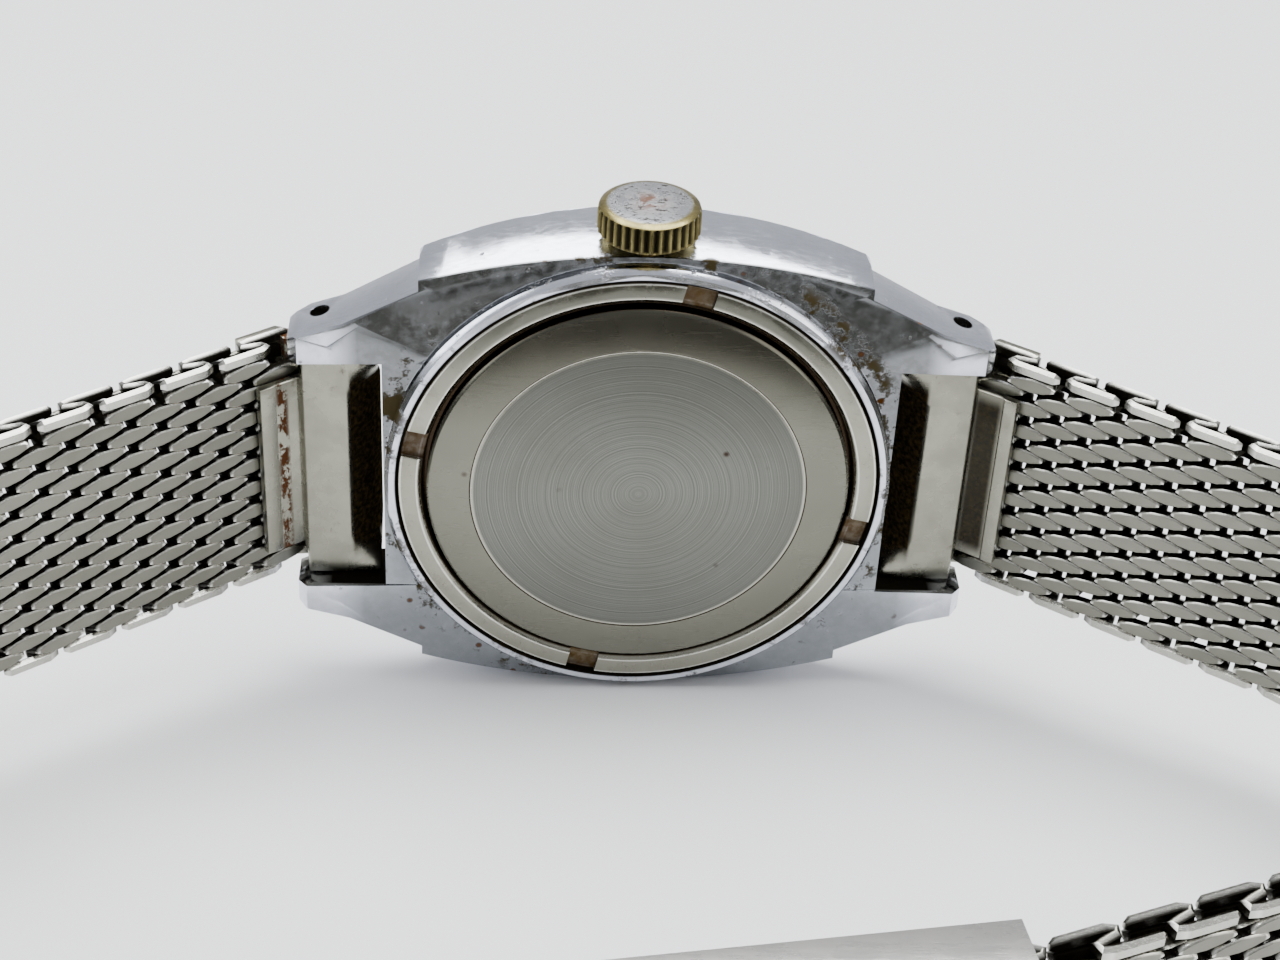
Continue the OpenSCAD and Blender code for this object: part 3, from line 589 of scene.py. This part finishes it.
# %% [markdown]
# ## Edge links
#
# The spirals' ends would scratch a wrist, so each edge is closed by a row of links. A link lies along
# one face, turns over the edge in a hook, and goes on along the other face. It's drawn as one bent tube
# with rounded ends. Beads or a plain strip along the edge would be simpler, but would look like piping.

# %% Edge links
LINK_PATH = [(-3.98, -0.60), (-3.7, -0.66), (-1.0, -0.68), (-0.45, -0.55), (-0.36, -0.18), (-0.95, 0.0),
             (-1.62, 0.16), (-1.78, 0.50), (-1.3, 0.72), (1.45, 0.72), (1.80, 0.66)]
LINK_EDGE = ((0.26, 0.28), (-0.26, 0.28), (-0.44, 0.0), (-0.26, -0.28), (0.26, -0.28), (0.44, 0.0))


def link_rings():
    """The link's six-sided section along its path, square to it and half as large at the two ends."""
    rings = []
    last = len(LINK_PATH) - 1
    for i, (s, h) in enumerate(LINK_PATH):
        (s0, h0), (s1, h1) = LINK_PATH[max(i - 1, 0)], LINK_PATH[min(i + 1, last)]
        way = Vector((s1 - s0, h1 - h0)).normalized()
        size = 0.5 if i in (0, last) else 1.0
        rings.append([(s - way.y * n * size, w * size, h + way.x * n * size) for w, n in LINK_EDGE])
    return rings


link = swept("edge_link", link_rings())
editing(link)
close_ends()
# The finish reads this number too, so a link's inner parts get the same painted grease and shade as the gaps.
set_crest(link, lambda co: min(0.94, max(abs(co.z) * 1.05, abs(co.y) * 2.1, 0.5)))
print("edge link:", len(link.data.polygons), "faces")

# %% [markdown]
# ## Along the bracelet
#
# The centre line leaves the case at an angle, runs straight, bends round in an arc and comes back
# straight to the clasp. Its length is measured run by run, and a spiral is set down every 2.1 mm. The
# frame at each place turns with the line. A Curve modifier could bend a straight strip instead, but it
# would squeeze the wires on the inside of the bend.

# %% The centre line
RUN_START = Vector((23.65, 0, -4.5))
SLOPE = math.radians(7.8)            # of the clasp, across the watch
CORNER_X = 17.0                      # where a half turns into the clasp


def across(angle, length=1.0):
    """A step of that length in the band's plane, the angle measured from +x."""
    return Vector((math.cos(angle), 0, math.sin(angle))) * length


def straight(start, end):
    """A straight piece: its length, and a function from a distance to a place and a direction."""
    step = (end - start).normalized()
    return (end - start).length, lambda d: (start + step * d, step)


def bend(middle, radius, start, end):
    """A round piece, given and used in the same way, between two angles."""
    def at(d):
        angle = start + d / radius
        return middle + across(angle, radius), across(angle + math.pi / 2)

    return radius * (end - start), at


def side_line(run, radius, stop, ends):
    """Pieces of one half, drawn towards +x: a run, a bend, and straight on through the ends."""
    run_end = RUN_START + across(LEAVE, run)
    middle = run_end + across(LEAVE + math.pi / 2, radius)
    pieces = [straight(RUN_START, run_end), bend(middle, radius, LEAVE - math.pi / 2, stop)]
    points = [middle + across(stop, radius)] + ends
    return pieces + [straight(a, b) for a, b in zip(points, points[1:])]


def along(pieces, d):
    """Where the centre line is and which way it runs, d millimetres from the case."""
    for length, at in pieces[:-1]:
        if d < length:
            return at(d)
        d -= length
    return pieces[-1][1](d)


RUN_12, BEND_12, STOP_12 = 21.4, 20.0, math.radians(70)
bend_end = RUN_START + across(LEAVE, RUN_12) + across(LEAVE + math.pi / 2, BEND_12) + across(STOP_12, BEND_12)
corner = Vector((CORNER_X, 0, bend_end.z + (bend_end.x - CORNER_X) / math.tan(STOP_12)))
IN_SLIDER = 26.0                     # how far the 12 o'clock half goes on past its corner
in_slider = corner + across(math.pi - SLOPE, IN_SLIDER)
line_12 = side_line(RUN_12, BEND_12, STOP_12, [corner, in_slider])

BEND_6, STOP_6 = 26.0, math.pi / 2 + SLOPE
facing = across(STOP_6)
inwards = across(LEAVE + math.pi / 2)
mirrored_corner = Vector((-CORNER_X, 0, corner.z))
RUN_6 = facing.dot(mirrored_corner - RUN_START - BEND_6 * (inwards + facing)) / facing.dot(across(LEAVE))
in_hook = mirrored_corner + across(SLOPE, 2 * CORNER_X)
line_6 = side_line(RUN_6, BEND_6, STOP_6, [in_hook])
print("half lengths in mm:", [round(sum(p[0] for p in line), 1) for line in (line_12, line_6)])

# %% [markdown]
# ## The two halves
#
# Each half is a row of spirals with a link on each edge at every second one, and three rows more are
# folded in under the clip. Both halves are drawn towards +x, and the one at 6 o'clock is then mirrored.
# Its spirals are mirrored once more, so that all the wire winds the same way. Its links aren't, which
# turns their faces inside out, so they are flipped back. All are joined, since each half moves as one.

# %% The two halves
STEP = 2.1                           # from spiral to spiral along the band
FIRST_AT, END_ROOM = 1.0, 0.6
LINK_W = BAND_W / 2 - 0.45
TUCKED = ((22.2, -5.75, 18, 0.9), (20.2, -6.35, 0, 0.75), (18.75, -5.75, -55, 0.7))   # x, z, angle, size


def set_down(mesh, name, half, local, place, direction, size):
    """A copy of the mesh at a place of the centre line; half mirrors it and local sets it first."""
    face = Vector((-direction.z, 0, direction.x))
    turned = Matrix((direction, Vector((0, 1, 0)), face)).transposed().to_4x4()
    turned = turned @ Matrix.Diagonal((size, 1, size, 1))
    turned.translation = place
    row = bpy.data.objects.new(name, mesh.copy())
    bpy.context.scene.collection.objects.link(row)
    row.data.transform(TO_ROOM @ half @ turned @ local)
    if (half @ local).determinant() < 0:
        row.data.flip_normals()
    return row


def woven(name, side, pieces):
    """Half of the bracelet: side 1 hangs from 12 o'clock and -1 from 6."""
    count = int((sum(length for length, _ in pieces) - END_ROOM) / STEP)
    places = [(*along(pieces, FIRST_AT + i * STEP), 1.0) for i in range(count)]
    places += [(Vector((x, 0, z)), across(math.radians(angle)), size) for x, z, angle, size in TUCKED]
    half = Matrix.Diagonal((side, 1, 1, 1))
    rows = []
    for i, spot in enumerate(places):
        rows.append(set_down(spirals[i % 2].data, f"{name}_{i}", half, half, *spot))
        if i % 2 and i < count - 1:
            for edge in (-1, 1):
                beside = Matrix.Translation((0, edge * LINK_W, 0))
                rows.append(set_down(link.data, f"{name}_link_{i}_{edge}", half, beside, *spot))
    alone()
    for row in rows:
        row.select_set(True)
    bpy.context.view_layer.objects.active = rows[0]
    bpy.ops.object.join()
    piece = bpy.context.object
    piece.name = name + "_woven"
    bpy.ops.object.shade_smooth_by_angle(angle=SHARP_OVER)
    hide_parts(name)
    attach(piece, piece_body[name])
    print(piece.name, len(rows), "spirals and links,", len(piece.data.polygons), "faces")
    return piece


woven_halves = [woven("mesh_12", 1, line_12), woven("mesh_6", -1, line_6)]
for spare in (turn, link, *spirals):
    bpy.data.objects.remove(spare)

# %% [markdown]
# ## Crown
#
# The crown is a small brass knob with fine grooves round it and a slightly domed chrome top. A circle
# with four points to each groove is extruded up through its stations, and the points at the bottom of
# the grooves are then drawn in towards the axis. Cutting each groove with a boolean would give the
# same shape with far more work for each change.

# %% Crown
CROWN_R, CROWN_Y, CROWN_Z, GROOVES = 3.3, 18.05, -3.34, 32
FOOT_R = 1.2
VALLEY, SHOULDER = 0.905, 0.962      # shares of the radius at a groove's bottom and on its sides
STATIONS_UP = [(0.0, 2.92), (0.10, 3.16), (0.22, CROWN_R), (0.45, CROWN_R), (1.0, CROWN_R), (1.45, CROWN_R),
               (1.72, CROWN_R - 0.03), (1.88, 3.20), (1.98, 3.06), (2.04, 2.86), (2.10, 2.5), (2.15, 1.7),
               (2.18, 0.8), (2.19, 0.25)]


def ring_up(dy, scale):
    """Extrudes the selected ring out along the crown's axis and scales it."""
    bpy.ops.mesh.extrude_region_move(TRANSFORM_OT_translate={"value": (0, dy, 0)})
    y = next(v.co.y for v in bmesh.from_edit_mesh(bpy.context.object.data).verts if v.select)
    bpy.ops.transform.resize(value=(scale, 1, scale), center_override=(0, y, 0))


alone()
bpy.ops.mesh.primitive_circle_add(vertices=GROOVES * 4, radius=FOOT_R, rotation=(math.radians(90), 0, 0))
crown = bpy.context.object
crown.name = "crown_grooved"
bpy.ops.object.transform_apply(rotation=True)
editing(crown)
bpy.ops.mesh.select_all(action="SELECT")
y_now, r_now = 0.0, FOOT_R
for y, r in STATIONS_UP:
    ring_up(y - y_now, r / r_now)
    y_now, r_now = y, r
select_where("edges", lambda e: len(e.link_faces) == 1)
bpy.ops.mesh.edge_face_add()


def in_groove(v, share):
    """Whether the point is on the grooved side, that share of the way from one crest to the next."""
    turn_share = (math.atan2(v.co.z, v.co.x) / (2 * math.pi) * GROOVES) % 1.0
    on_side = 0.15 < v.co.y < 1.8 and math.hypot(v.co.x, v.co.z) > 3.0
    return on_side and abs(turn_share - share) < 0.05


for share, drawn_in in ((0.5, VALLEY), (0.25, SHOULDER), (0.75, SHOULDER)):
    select_where("verts", lambda v: in_groove(v, share))
    bpy.ops.transform.resize(value=(drawn_in, 1, drawn_in), center_override=(0, 0, 0))
bpy.ops.mesh.select_all(action="SELECT")
bpy.ops.mesh.normals_make_consistent(inside=False)
bpy.ops.object.mode_set(mode="OBJECT")
crown.data.transform(TO_ROOM @ Matrix.Translation((0, CROWN_Y, CROWN_Z)))
bpy.ops.object.shade_smooth_by_angle(angle=SMOOTH_UNDER)
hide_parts("crown")
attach(crown, "crown")
print("crown faces:", len(crown.data.polygons))

# %% [markdown]
# ## Finishes of the woven wire
#
# Ground steel flats are pale and a little warm, and their edges are bright. The gaps are painted near black
# with a dull shader: skin grease and dust, and painted shade where the wire hides the light. The stored crest
# number leads from gap to flat. Fine lines along each flat and a slow blotch from place to place keep the
# pattern from looking stamped.

# %% Woven wire
f = Finish("woven steel wire", (0.36, 0.355, 0.32), rough=0.30)
spot = f.place()
blotch, grain = wear(f, spot, 0.16)
crest = f.node("Attribute", {"attribute_name": "crest"}, out=ATTRIBUTE_NUMBER)
flat = crest.ramp(0.90, 1.0)
# Painted shade, with grease and dust: near black deep in the gaps, led by the crest number.
gap_grease_and_shade = crest.ramp(0.90, 0.62)
scuff = f.noise(f.place(stretch=(1, 6, 6)), 2.2, 4).ramp(0.45, 0.75)
colour = f.mix(blotch * 0.6, (0.205, 0.202, 0.170), (0.125, 0.122, 0.098))
colour = f.mix(flat, (0.62, 0.61, 0.56), colour)
f.put("Base Color", colour)
f.put("Roughness", 0.18 + flat * 0.14 + scuff * 0.10)
f.bump((scuff, 0.01, 0.25), (grain, 0.008, 0.2))
f.matte(gap_grease_and_shade * 0.96, (0.006, 0.005, 0.003))
f.on(*woven_halves)
print("wire finish set")

# %% [markdown]
# ## Chrome of the case
#
# The case is chrome plate on brass. It's bluish and bright, dulled by fine scratches, pitted in a few places,
# and yellow-green crust has grown round the lip that holds the back. The crust follows a ring broken up by
# noise, so it stays where dirt collects. The flat back face is given a darker grey that darkens further
# towards the crown: painted shade and painted reflection, not a colour of the chrome. Dirt over chrome would
# still shine if only the colour changed, so it's a second, dull shader that masks lay over the first. The
# same near-black dull shader paints shade, with dirt, into the seam round the back, between the lugs and in
# the drilled holes.

# %% Case chrome
LIP_R, RING_SEAT_R = 16.9, 16.12     # outside and inside of the lip round the back's ring
HALF_GAP = 9.0                       # from the middle to a lug's inner face
HOLE_X, HOLE_Z = 20.95, -4.0         # the drilled holes of the spring bars

f = Finish("worn case chrome", (0.62, 0.64, 0.70), rough=0.14)
spot = f.place()
x, y, z = f.parts(spot)
radius = (x * x + y * y).root()
blotch, grain = wear(f, spot, 0.35)
haze = f.noise(f.place(stretch=(1, 1, 3)), 1.3, 5, 0.65).ramp(0.42, 0.72)
pits = f.spots(spot, 0.9).ramp(0.16, 0.05) * f.noise(spot, 0.5, 2).ramp(0.55, 0.68)
near_lip = radius.band(LIP_R + 0.4, 0.5, 0.9) * z.ramp(-1.9, -1.5)
crust = near_lip * f.noise(spot, 0.30, 5, 0.75).ramp(0.55, 0.62)
back_face = z.ramp(-1.68, -1.60) * radius.ramp(LIP_R - 0.1, LIP_R) * x.size().ramp(20.4, 18.4)
rust = f.spots(spot, 0.55).ramp(0.16, 0.08) * back_face * f.noise(spot, 0.25, 2).ramp(0.50, 0.56)
# Painted shade, with dirt: the masks below lay a near-black dull shader in the seam round the back, between
# the lugs and in the drilled holes.
seam = radius.ramp(RING_SEAT_R + 0.1, RING_SEAT_R) * z.ramp(-5.4, -5.0)
between_lugs = y.size().ramp(HALF_GAP + 0.3, HALF_GAP) * z.ramp(-1.52, -1.62)
in_wall = between_lugs * x.size().ramp(15.6, 15.9) * x.size().ramp(21.6, 20.6)
off_x, off_z = x.size() - HOLE_X, z - HOLE_Z
drilled = (off_x * off_x + off_z * off_z).root().ramp(0.70, 0.62)
dirt_and_painted_shade = (seam + in_wall + drilled * 0.85).limit()

colour = f.mix(haze * 0.6, (0.66, 0.68, 0.75), (0.50, 0.52, 0.58))
# Painted shade and painted reflection: the flat back face is a darker grey, darkest towards the crown.
back_face_painted_shade = f.mix(y.ramp(6.0, -8.0), (0.11, 0.113, 0.11), (0.22, 0.235, 0.245))
colour = f.mix(back_face * (0.92 - haze * 0.15), colour, back_face_painted_shade)
colour = f.mix(pits * 0.85, colour, (0.06, 0.045, 0.035))
colour = f.mix(crust * 0.95, colour, f.mix(grain, (0.055, 0.036, 0.012), (0.030, 0.038, 0.016)))
colour = f.mix(rust * 0.9, colour, (0.09, 0.035, 0.008))
f.put("Base Color", colour)
f.put("Metallic", (1.0 - crust * 0.85 - rust * 0.8 - pits * 0.5).limit())
f.put("Roughness", 0.10 + haze * 0.16 + crust * 0.5 + pits * 0.4 + blotch * 0.05)
f.bump((pits * -1.0 + crust * 0.8, 0.06, 0.6), (haze, 0.01, 0.15))
# The dull shader's colour is near black for the painted shade and dirt, and the crust's own colour where it
# grows.
dirt_and_shade_colour = f.mix(crust, (0.006, 0.005, 0.003), (0.05, 0.036, 0.012))
f.matte((dirt_and_painted_shade + crust * 0.8 + rust * 0.8).limit(), f.mix(rust, dirt_and_shade_colour, (0.09, 0.03, 0.006)))
f.on(worn["case_middle"])
print("case finish set")

# %% [markdown]
# ## Turned steel of the back
#
# The back is turned on a lathe, so its middle shows fine rings round one centre, and each ring glints
# on both sides of the light. The rings are noise that depends on the radius alone, laid in the bump and
# the colour. Anisotropic gloss would give the glints too, but no single rings. The outer band was
# polished afterwards and has faint straight marks.

# %% Back disc
GROOVE_R, DISC_R = 11.1, 14.05

f = Finish("turned back steel", (0.58, 0.57, 0.54), rough=0.30)
spot = f.place()
x, y, _ = f.parts(spot)
radius = (x * x + y * y).root()
inner = radius.ramp(GROOVE_R - 0.05, GROOVE_R - 0.2)
lines = f.line_noise(radius, 9.0, 4, 0.75)
coarse = f.line_noise(radius, 1.2, 2)
near_middle = radius.ramp(7.0, 0.5)
blotch, _ = wear(f, spot, 0.14)
scratch = f.noise(f.place(stretch=(0.2, 3.0, 1)), 1.5, 4).ramp(0.55, 0.78)
pits = f.spots(spot, 0.34).ramp(0.10, 0.03) * f.noise(spot, 0.2, 2).ramp(0.5, 0.6)
groove = radius.band(GROOVE_R, 0.09, 0.07)
outer_shade = y.ramp(5.0, 11.5) * (1.0 - inner)
colour = f.mix(inner, (0.175, 0.173, 0.14), (0.115, 0.118, 0.105))
colour = f.mix(inner * lines.ramp(0.35, 0.65), colour, (0.21, 0.214, 0.19))
colour = f.mix(blotch * 0.25, colour, (0.14, 0.135, 0.11))
colour = f.mix(outer_shade * 0.85, colour, (0.055, 0.052, 0.04))
# Painted shade: near black at the disc's rim, where it meets the ring.
colour = f.mix(radius.ramp(DISC_R - 0.07, DISC_R), colour, (0.03, 0.02, 0.012))
colour = f.mix(pits, colour, (0.07, 0.05, 0.04))
# Painted highlight: a bright line along the groove.
colour = f.mix(groove, colour, (0.40, 0.39, 0.33))
# Painted shade: a thin dark line just outside the groove.
colour = f.mix(radius.band(GROOVE_R + 0.09, 0.03, 0.03), colour, (0.03, 0.025, 0.018))
f.put("Base Color", colour)
f.put("Roughness", 0.24 + inner * 0.12 + blotch * 0.06 + scratch * 0.08 + pits * 0.3)
f.bump((lines * inner, 0.02, 0.6), (coarse * near_middle, 0.06, 0.5), (scratch, 0.008, 0.15))
f.on(worn["back_disc"])
print("back disc finish set")

# %% [markdown]
# ## Steel of the retaining ring
#
# The ring that holds the back is plain steel. Its two edges have thin bright lines painted on them as
# highlights, and its part towards the crown is painted darker as shade. Brown dirt lies on the floors of its
# four slots, and along both its edges there is near-black dirt with painted shade in the seams. The slots'
# floors are lower than its face, so their mask is the height alone, and painting each slot by its angle isn't
# needed.

# %% Retaining ring
RING_IN, RING_OUT, SLOT_FLOOR_Z = 14.5, 15.93, -0.85

f = Finish("back ring steel", (0.62, 0.61, 0.585), rough=0.22)
spot = f.place()
x, y, z = f.parts(spot)
blotch, grain = wear(f, spot, 0.3)
scuff = f.noise(f.place(stretch=(1, 1, 2)), 1.6, 5, 0.7).ramp(0.5, 0.72)
radius = (x * x + y * y).root()
floor_dirt = z.ramp(-0.66, SLOT_FLOOR_Z)
# Dirt and painted shade: near black along both edges, in the seams beside the case and the disc.
inner_edge = radius.ramp(RING_IN, RING_IN - 0.1) * z.ramp(-0.60, -0.72)
edge_dirt_and_shade = (radius.ramp(RING_OUT - 0.09, RING_OUT) + inner_edge).limit()
colour = f.mix(blotch * 0.5, (0.30, 0.296, 0.245), (0.22, 0.21, 0.165))
# Painted shade: the part of the ring towards the crown is darker.
upper_painted_shade = y.ramp(6.0, 12.0) * radius.ramp(14.78, 14.95)
colour = f.mix(upper_painted_shade * 0.85, colour, (0.085, 0.085, 0.07))
# Painted highlights: thin bright lines along both edges.
painted_edge_highlight = radius.band(15.82, 0.04, 0.05) + radius.band(14.72, 0.03, 0.05)
colour = f.mix(painted_edge_highlight.limit() * 0.7, colour, (0.75, 0.74, 0.68))
slot_brown = f.mix(blotch, (0.10, 0.062, 0.018), (0.05, 0.022, 0.007))
colour = f.mix(floor_dirt * (0.8 + grain * 0.2), colour, slot_brown)
colour = f.mix(scuff * 0.25, colour, (0.25, 0.235, 0.20))
f.put("Base Color", colour)
f.put("Metallic", 1.0 - floor_dirt * 0.4)
f.put("Roughness", 0.16 + blotch * 0.08 + scuff * 0.14 + floor_dirt * 0.3)
f.bump((scuff, 0.012, 0.25))
dirt_and_shade_colour = f.mix(edge_dirt_and_shade, (0.075, 0.042, 0.012), (0.012, 0.009, 0.005))
f.matte((edge_dirt_and_shade + floor_dirt * grain * 0.7).limit(), dirt_and_shade_colour)
f.on(worn["back_retaining_ring"])
print("retaining ring finish set")

# %% [markdown]
# ## Brass and chrome of the crown
#
# The chrome has worn off the crown's side, where fingers turn it, and bare brass shows, bright on the crests
# of the grooves. The bottoms of the grooves are painted nearly black as shade. The top is still chrome round
# its edge, and its middle is pitted and brown.

# %% Crown finish
f = Finish("worn crown", (0.5, 0.4, 0.2), rough=0.25)
spot = f.place((0, CROWN_Y, CROWN_Z))
x, y, z = f.parts(spot)
radius = (x * x + z * z).root()
blotch, grain = wear(f, spot, 0.7)
top = y.ramp(2.05, 2.09)
# Painted shade: near black in the bottoms of the grooves.
valley_shade = radius.ramp(3.27, 3.14) * y.ramp(1.9, 1.75) * y.ramp(0.1, 0.25)
rust = f.noise(spot, 0.9, 5, 0.75, 0.4).ramp(0.42, 0.54) * radius.ramp(1.9, 0.5)
pits = f.noise(f.place((0, CROWN_Y, CROWN_Z), (0.5, 1, 1.2)), 2.4, 5, 0.8).ramp(0.54, 0.58) * top
brass = f.mix(blotch * 0.8, (0.30, 0.25, 0.10), (0.12, 0.10, 0.045))
plate = f.mix(blotch * 0.5, (0.50, 0.51, 0.53), (0.34, 0.335, 0.32))
colour = f.mix(top, brass, plate)
colour = f.mix(rust * top * 0.95, colour, (0.10, 0.035, 0.010))
colour = f.mix(pits, colour, (0.022, 0.017, 0.013))
colour = f.mix(valley_shade * 0.97, colour, (0.016, 0.013, 0.005))
f.put("Base Color", colour)
f.put("Metallic", 1.0 - rust * top * 0.6 - pits * 0.3 - valley_shade * 0.1)
f.put("Roughness", 0.22 + blotch * 0.1 + rust * top * 0.3 + pits * 0.3 + valley_shade * 0.3)
f.bump((rust * top * -0.5 - pits, 0.05, 0.5), (grain, 0.01, 0.2))
f.on(crown)
print("crown finish set")

# %% [markdown]
# ## The hidden movement and the other plain metals
#
# Most of the remaining pieces keep the solid model's shape and only need a finish. One function makes
# a metal with its own colour, gloss and grain, so each is a line. A material for each piece would allow
# more differences, but nobody would see them in the closed watch.

# %% Plain metals
def metal(name, colour, dark, rough, grain_way=(1, 1, 6), grain_size=1.2):
    f = Finish(name, colour, rough=rough)
    spot = f.place()
    blotch, fine = wear(f, spot, 0.4)
    grain = f.noise(f.place(stretch=grain_way), grain_size, 4, 0.65).ramp(0.35, 0.7)
    f.put("Base Color", f.mix(blotch * 0.6 + grain * 0.2, colour, dark))
    f.put("Roughness", rough + blotch * 0.07 + grain * 0.06)
    return f.bump((grain, 0.008, 0.3), (fine, 0.008, 0.15))


def finish_nodes(finish, *names):
    finish.on(*[nodes[name] for name in names])


def nodes_named(*starts):
    return [name for name in nodes if name.startswith(starts)]


clasp_steel = metal("clasp steel", (0.62, 0.61, 0.58), (0.48, 0.46, 0.43), 0.22, (0.3, 3, 3))
clasp_steel.on(worn["clasp_slider"], worn["clasp_lever"])
metal("hook steel", (0.60, 0.59, 0.55), (0.42, 0.40, 0.36), 0.28).on(worn["hook_end"])
bar_steel = metal("spring bar steel", (0.42, 0.41, 0.38), (0.16, 0.13, 0.10), 0.35, (1, 0.2, 1))
finish_nodes(bar_steel, *nodes_named("spring_bar", "bar_tip", "clasp_pin"))
gilt = metal("gilt plate", (0.72, 0.55, 0.26), (0.55, 0.40, 0.18), 0.28, (0.4, 4, 1))
finish_nodes(gilt, "main_plate", "crown_tube", "mainspring_barrel", "centre_wheel", "third_wheel",
             "fourth_wheel", "balance_wheel", "minute_wheel", "hour_wheel")
nickel = metal("nickelled bridge", (0.66, 0.64, 0.60), (0.50, 0.48, 0.45), 0.24, (0.3, 5, 1), 1.6)
finish_nodes(nickel, "barrel_bridge", "train_bridge", "balance_cock", "movement_ring")
polished = metal("small polished steel", (0.56, 0.56, 0.57), (0.38, 0.38, 0.39), 0.16)
finish_nodes(polished, "winding_stem", "setting_lever", "winding_pinion", "sliding_clutch", "barrel_arbor",
             "ratchet_wheel", "click", "crown_wheel", "escape_wheel", "pallet_fork", "cannon_pinion",
             "mainspring")
blued = metal("blued steel", (0.045, 0.075, 0.24), (0.02, 0.03, 0.10), 0.22)
finish_nodes(blued, "bridge_screws", "hairspring")
gilding = metal("hand gilding", (0.58, 0.41, 0.16), (0.40, 0.27, 0.10), 0.16, (5, 5, 1))
finish_nodes(gilding, "hour_hand", "minute_hand", "seconds_hand", "hour_markers")
satin = metal("dial ring satin", (0.66, 0.66, 0.67), (0.52, 0.52, 0.53), 0.3)
finish_nodes(satin, "dial_ring")
print("plain metals set")

# %% [markdown]
# ## Satin steel of the end clips
#
# The clips are satin steel. At 6 o'clock a line of red rust runs along the tab. At 12 o'clock the tab's
# hollow is painted dark as shade, and the scoop on the case's side is painted near black as shade, mixed with
# brown dirt. Each is a mask made from the distance along or across the band. Painting them by hand would look
# as good, but would have to be done again after every change of shape.

# %% End clips
RUST_X, HOLLOW_X = 23.5, 23.2        # middles of the rust line and of the tab's hollow

f = metal("satin clip steel", (0.44, 0.435, 0.38), (0.32, 0.31, 0.26), 0.26, (3, 0.3, 3))
spot = f.place()
x, y, _ = f.parts(spot)
reach = x.size()
blotch, fine = wear(f, spot, 0.5)
# Painted shade, with dirt: the scoop towards the case goes near black.
scoop = reach.ramp(RIB_FROM - 0.08, RIB_FROM - 0.28) * y.size().ramp(7.7, 6.3)
rust_line = reach.band(RUST_X, 0.16, 0.25) * x.ramp(0.0, -1.0)
rust = rust_line * f.noise(f.place(stretch=(1, 0.6, 1)), 1.1, 5, 0.8).ramp(0.44, 0.50)
# Painted shade: the tab's hollow is darker.
hollow = reach.band(HOLLOW_X, 0.55, 0.35) * x.ramp(0.0, 1.0) * y.size().ramp(6.4, 5.6)
dirt = f.noise(spot, 0.7, 5, 0.7).ramp(0.60, 0.72) * y.size().ramp(3.5, 8.0)
colour = f.mix(blotch * 0.5, (0.28, 0.276, 0.225), (0.21, 0.20, 0.16))
colour = f.mix(hollow * 0.85, colour, (0.035, 0.032, 0.022))
colour = f.mix(rust * 0.95, colour, (0.07, 0.024, 0.006))
colour = f.mix(dirt * 0.7, colour, (0.07, 0.052, 0.022))
f.put("Base Color", colour)
f.put("Metallic", (1.0 - rust * 0.8 - dirt * 0.4 - hollow * 0.2).limit())
f.put("Roughness", 0.24 + blotch * 0.08 + rust * 0.5 + dirt * 0.3)
dirt_and_shade_colour = f.mix(fine, (0.006, 0.005, 0.003), (0.035, 0.023, 0.008))
dirt_and_painted_shade = (scoop + hollow * 0.75 + rust * 0.8 + dirt * 0.4).limit()
f.matte(dirt_and_painted_shade, f.mix(rust, dirt_and_shade_colour, (0.07, 0.022, 0.005)))
f.on(worn["end_clip_12"], worn["end_clip_6"])
print("end clip finish set")

# %% [markdown]
# ## Gasket, dial and crystal
#
# The gasket is plain black rubber. The dial is silvered and brushed outwards from its middle, so its
# grain is noise that depends on the angle alone, and two thin dark tracks run round it. The crystal is
# clear acrylic with a few scuffs, a real transmission shader, so that the dial shows through it.

# %% Gasket, dial and crystal
rubber = Finish("back gasket rubber", (0.02, 0.02, 0.02), metal=0.0, rough=0.6)
blotch, fine = wear(rubber, rubber.place(), 0.5)
rubber.put("Base Color", rubber.mix(blotch, (0.018, 0.018, 0.018), (0.035, 0.032, 0.028)))
rubber.put("Roughness", 0.55 + fine * 0.2)
rubber.on(nodes["back_gasket"])

f = Finish("silvered dial", (0.74, 0.74, 0.72), metal=0.85, rough=0.34)
x, y, _ = f.parts(f.place())
ray = f.line_noise(y.math("ARCTAN2", x), 22.0, 4, 0.8)
radius = (x * x + y * y).root()
TRACK_R, INNER_TRACK_R = 11.6, 10.9
tracks = radius.band(TRACK_R, 0.05, 0.04) + radius.band(INNER_TRACK_R, 0.03, 0.04)
silver = f.mix(ray * 0.6, (0.52, 0.51, 0.47), (0.34, 0.33, 0.30))
f.put("Base Color", f.mix(tracks.limit() * 0.8, silver, (0.03, 0.03, 0.035)))
f.put("Roughness", 0.28 + ray * 0.14)
f.bump((ray, 0.01, 0.3))
f.on(nodes["dial"])

f = Finish("watch crystal", (1, 1, 1), metal=0.0, rough=0.03, IOR=1.49, Transmission_Weight=1.0)
scuffs = f.noise(f.place(stretch=(1, 0.15, 1)), 2.5, 5, 0.75).ramp(0.62, 0.75)
f.put("Roughness", 0.02 + scuffs * 0.12)
f.bump((scuffs, 0.006, 0.15))
f.on(nodes["crystal"])
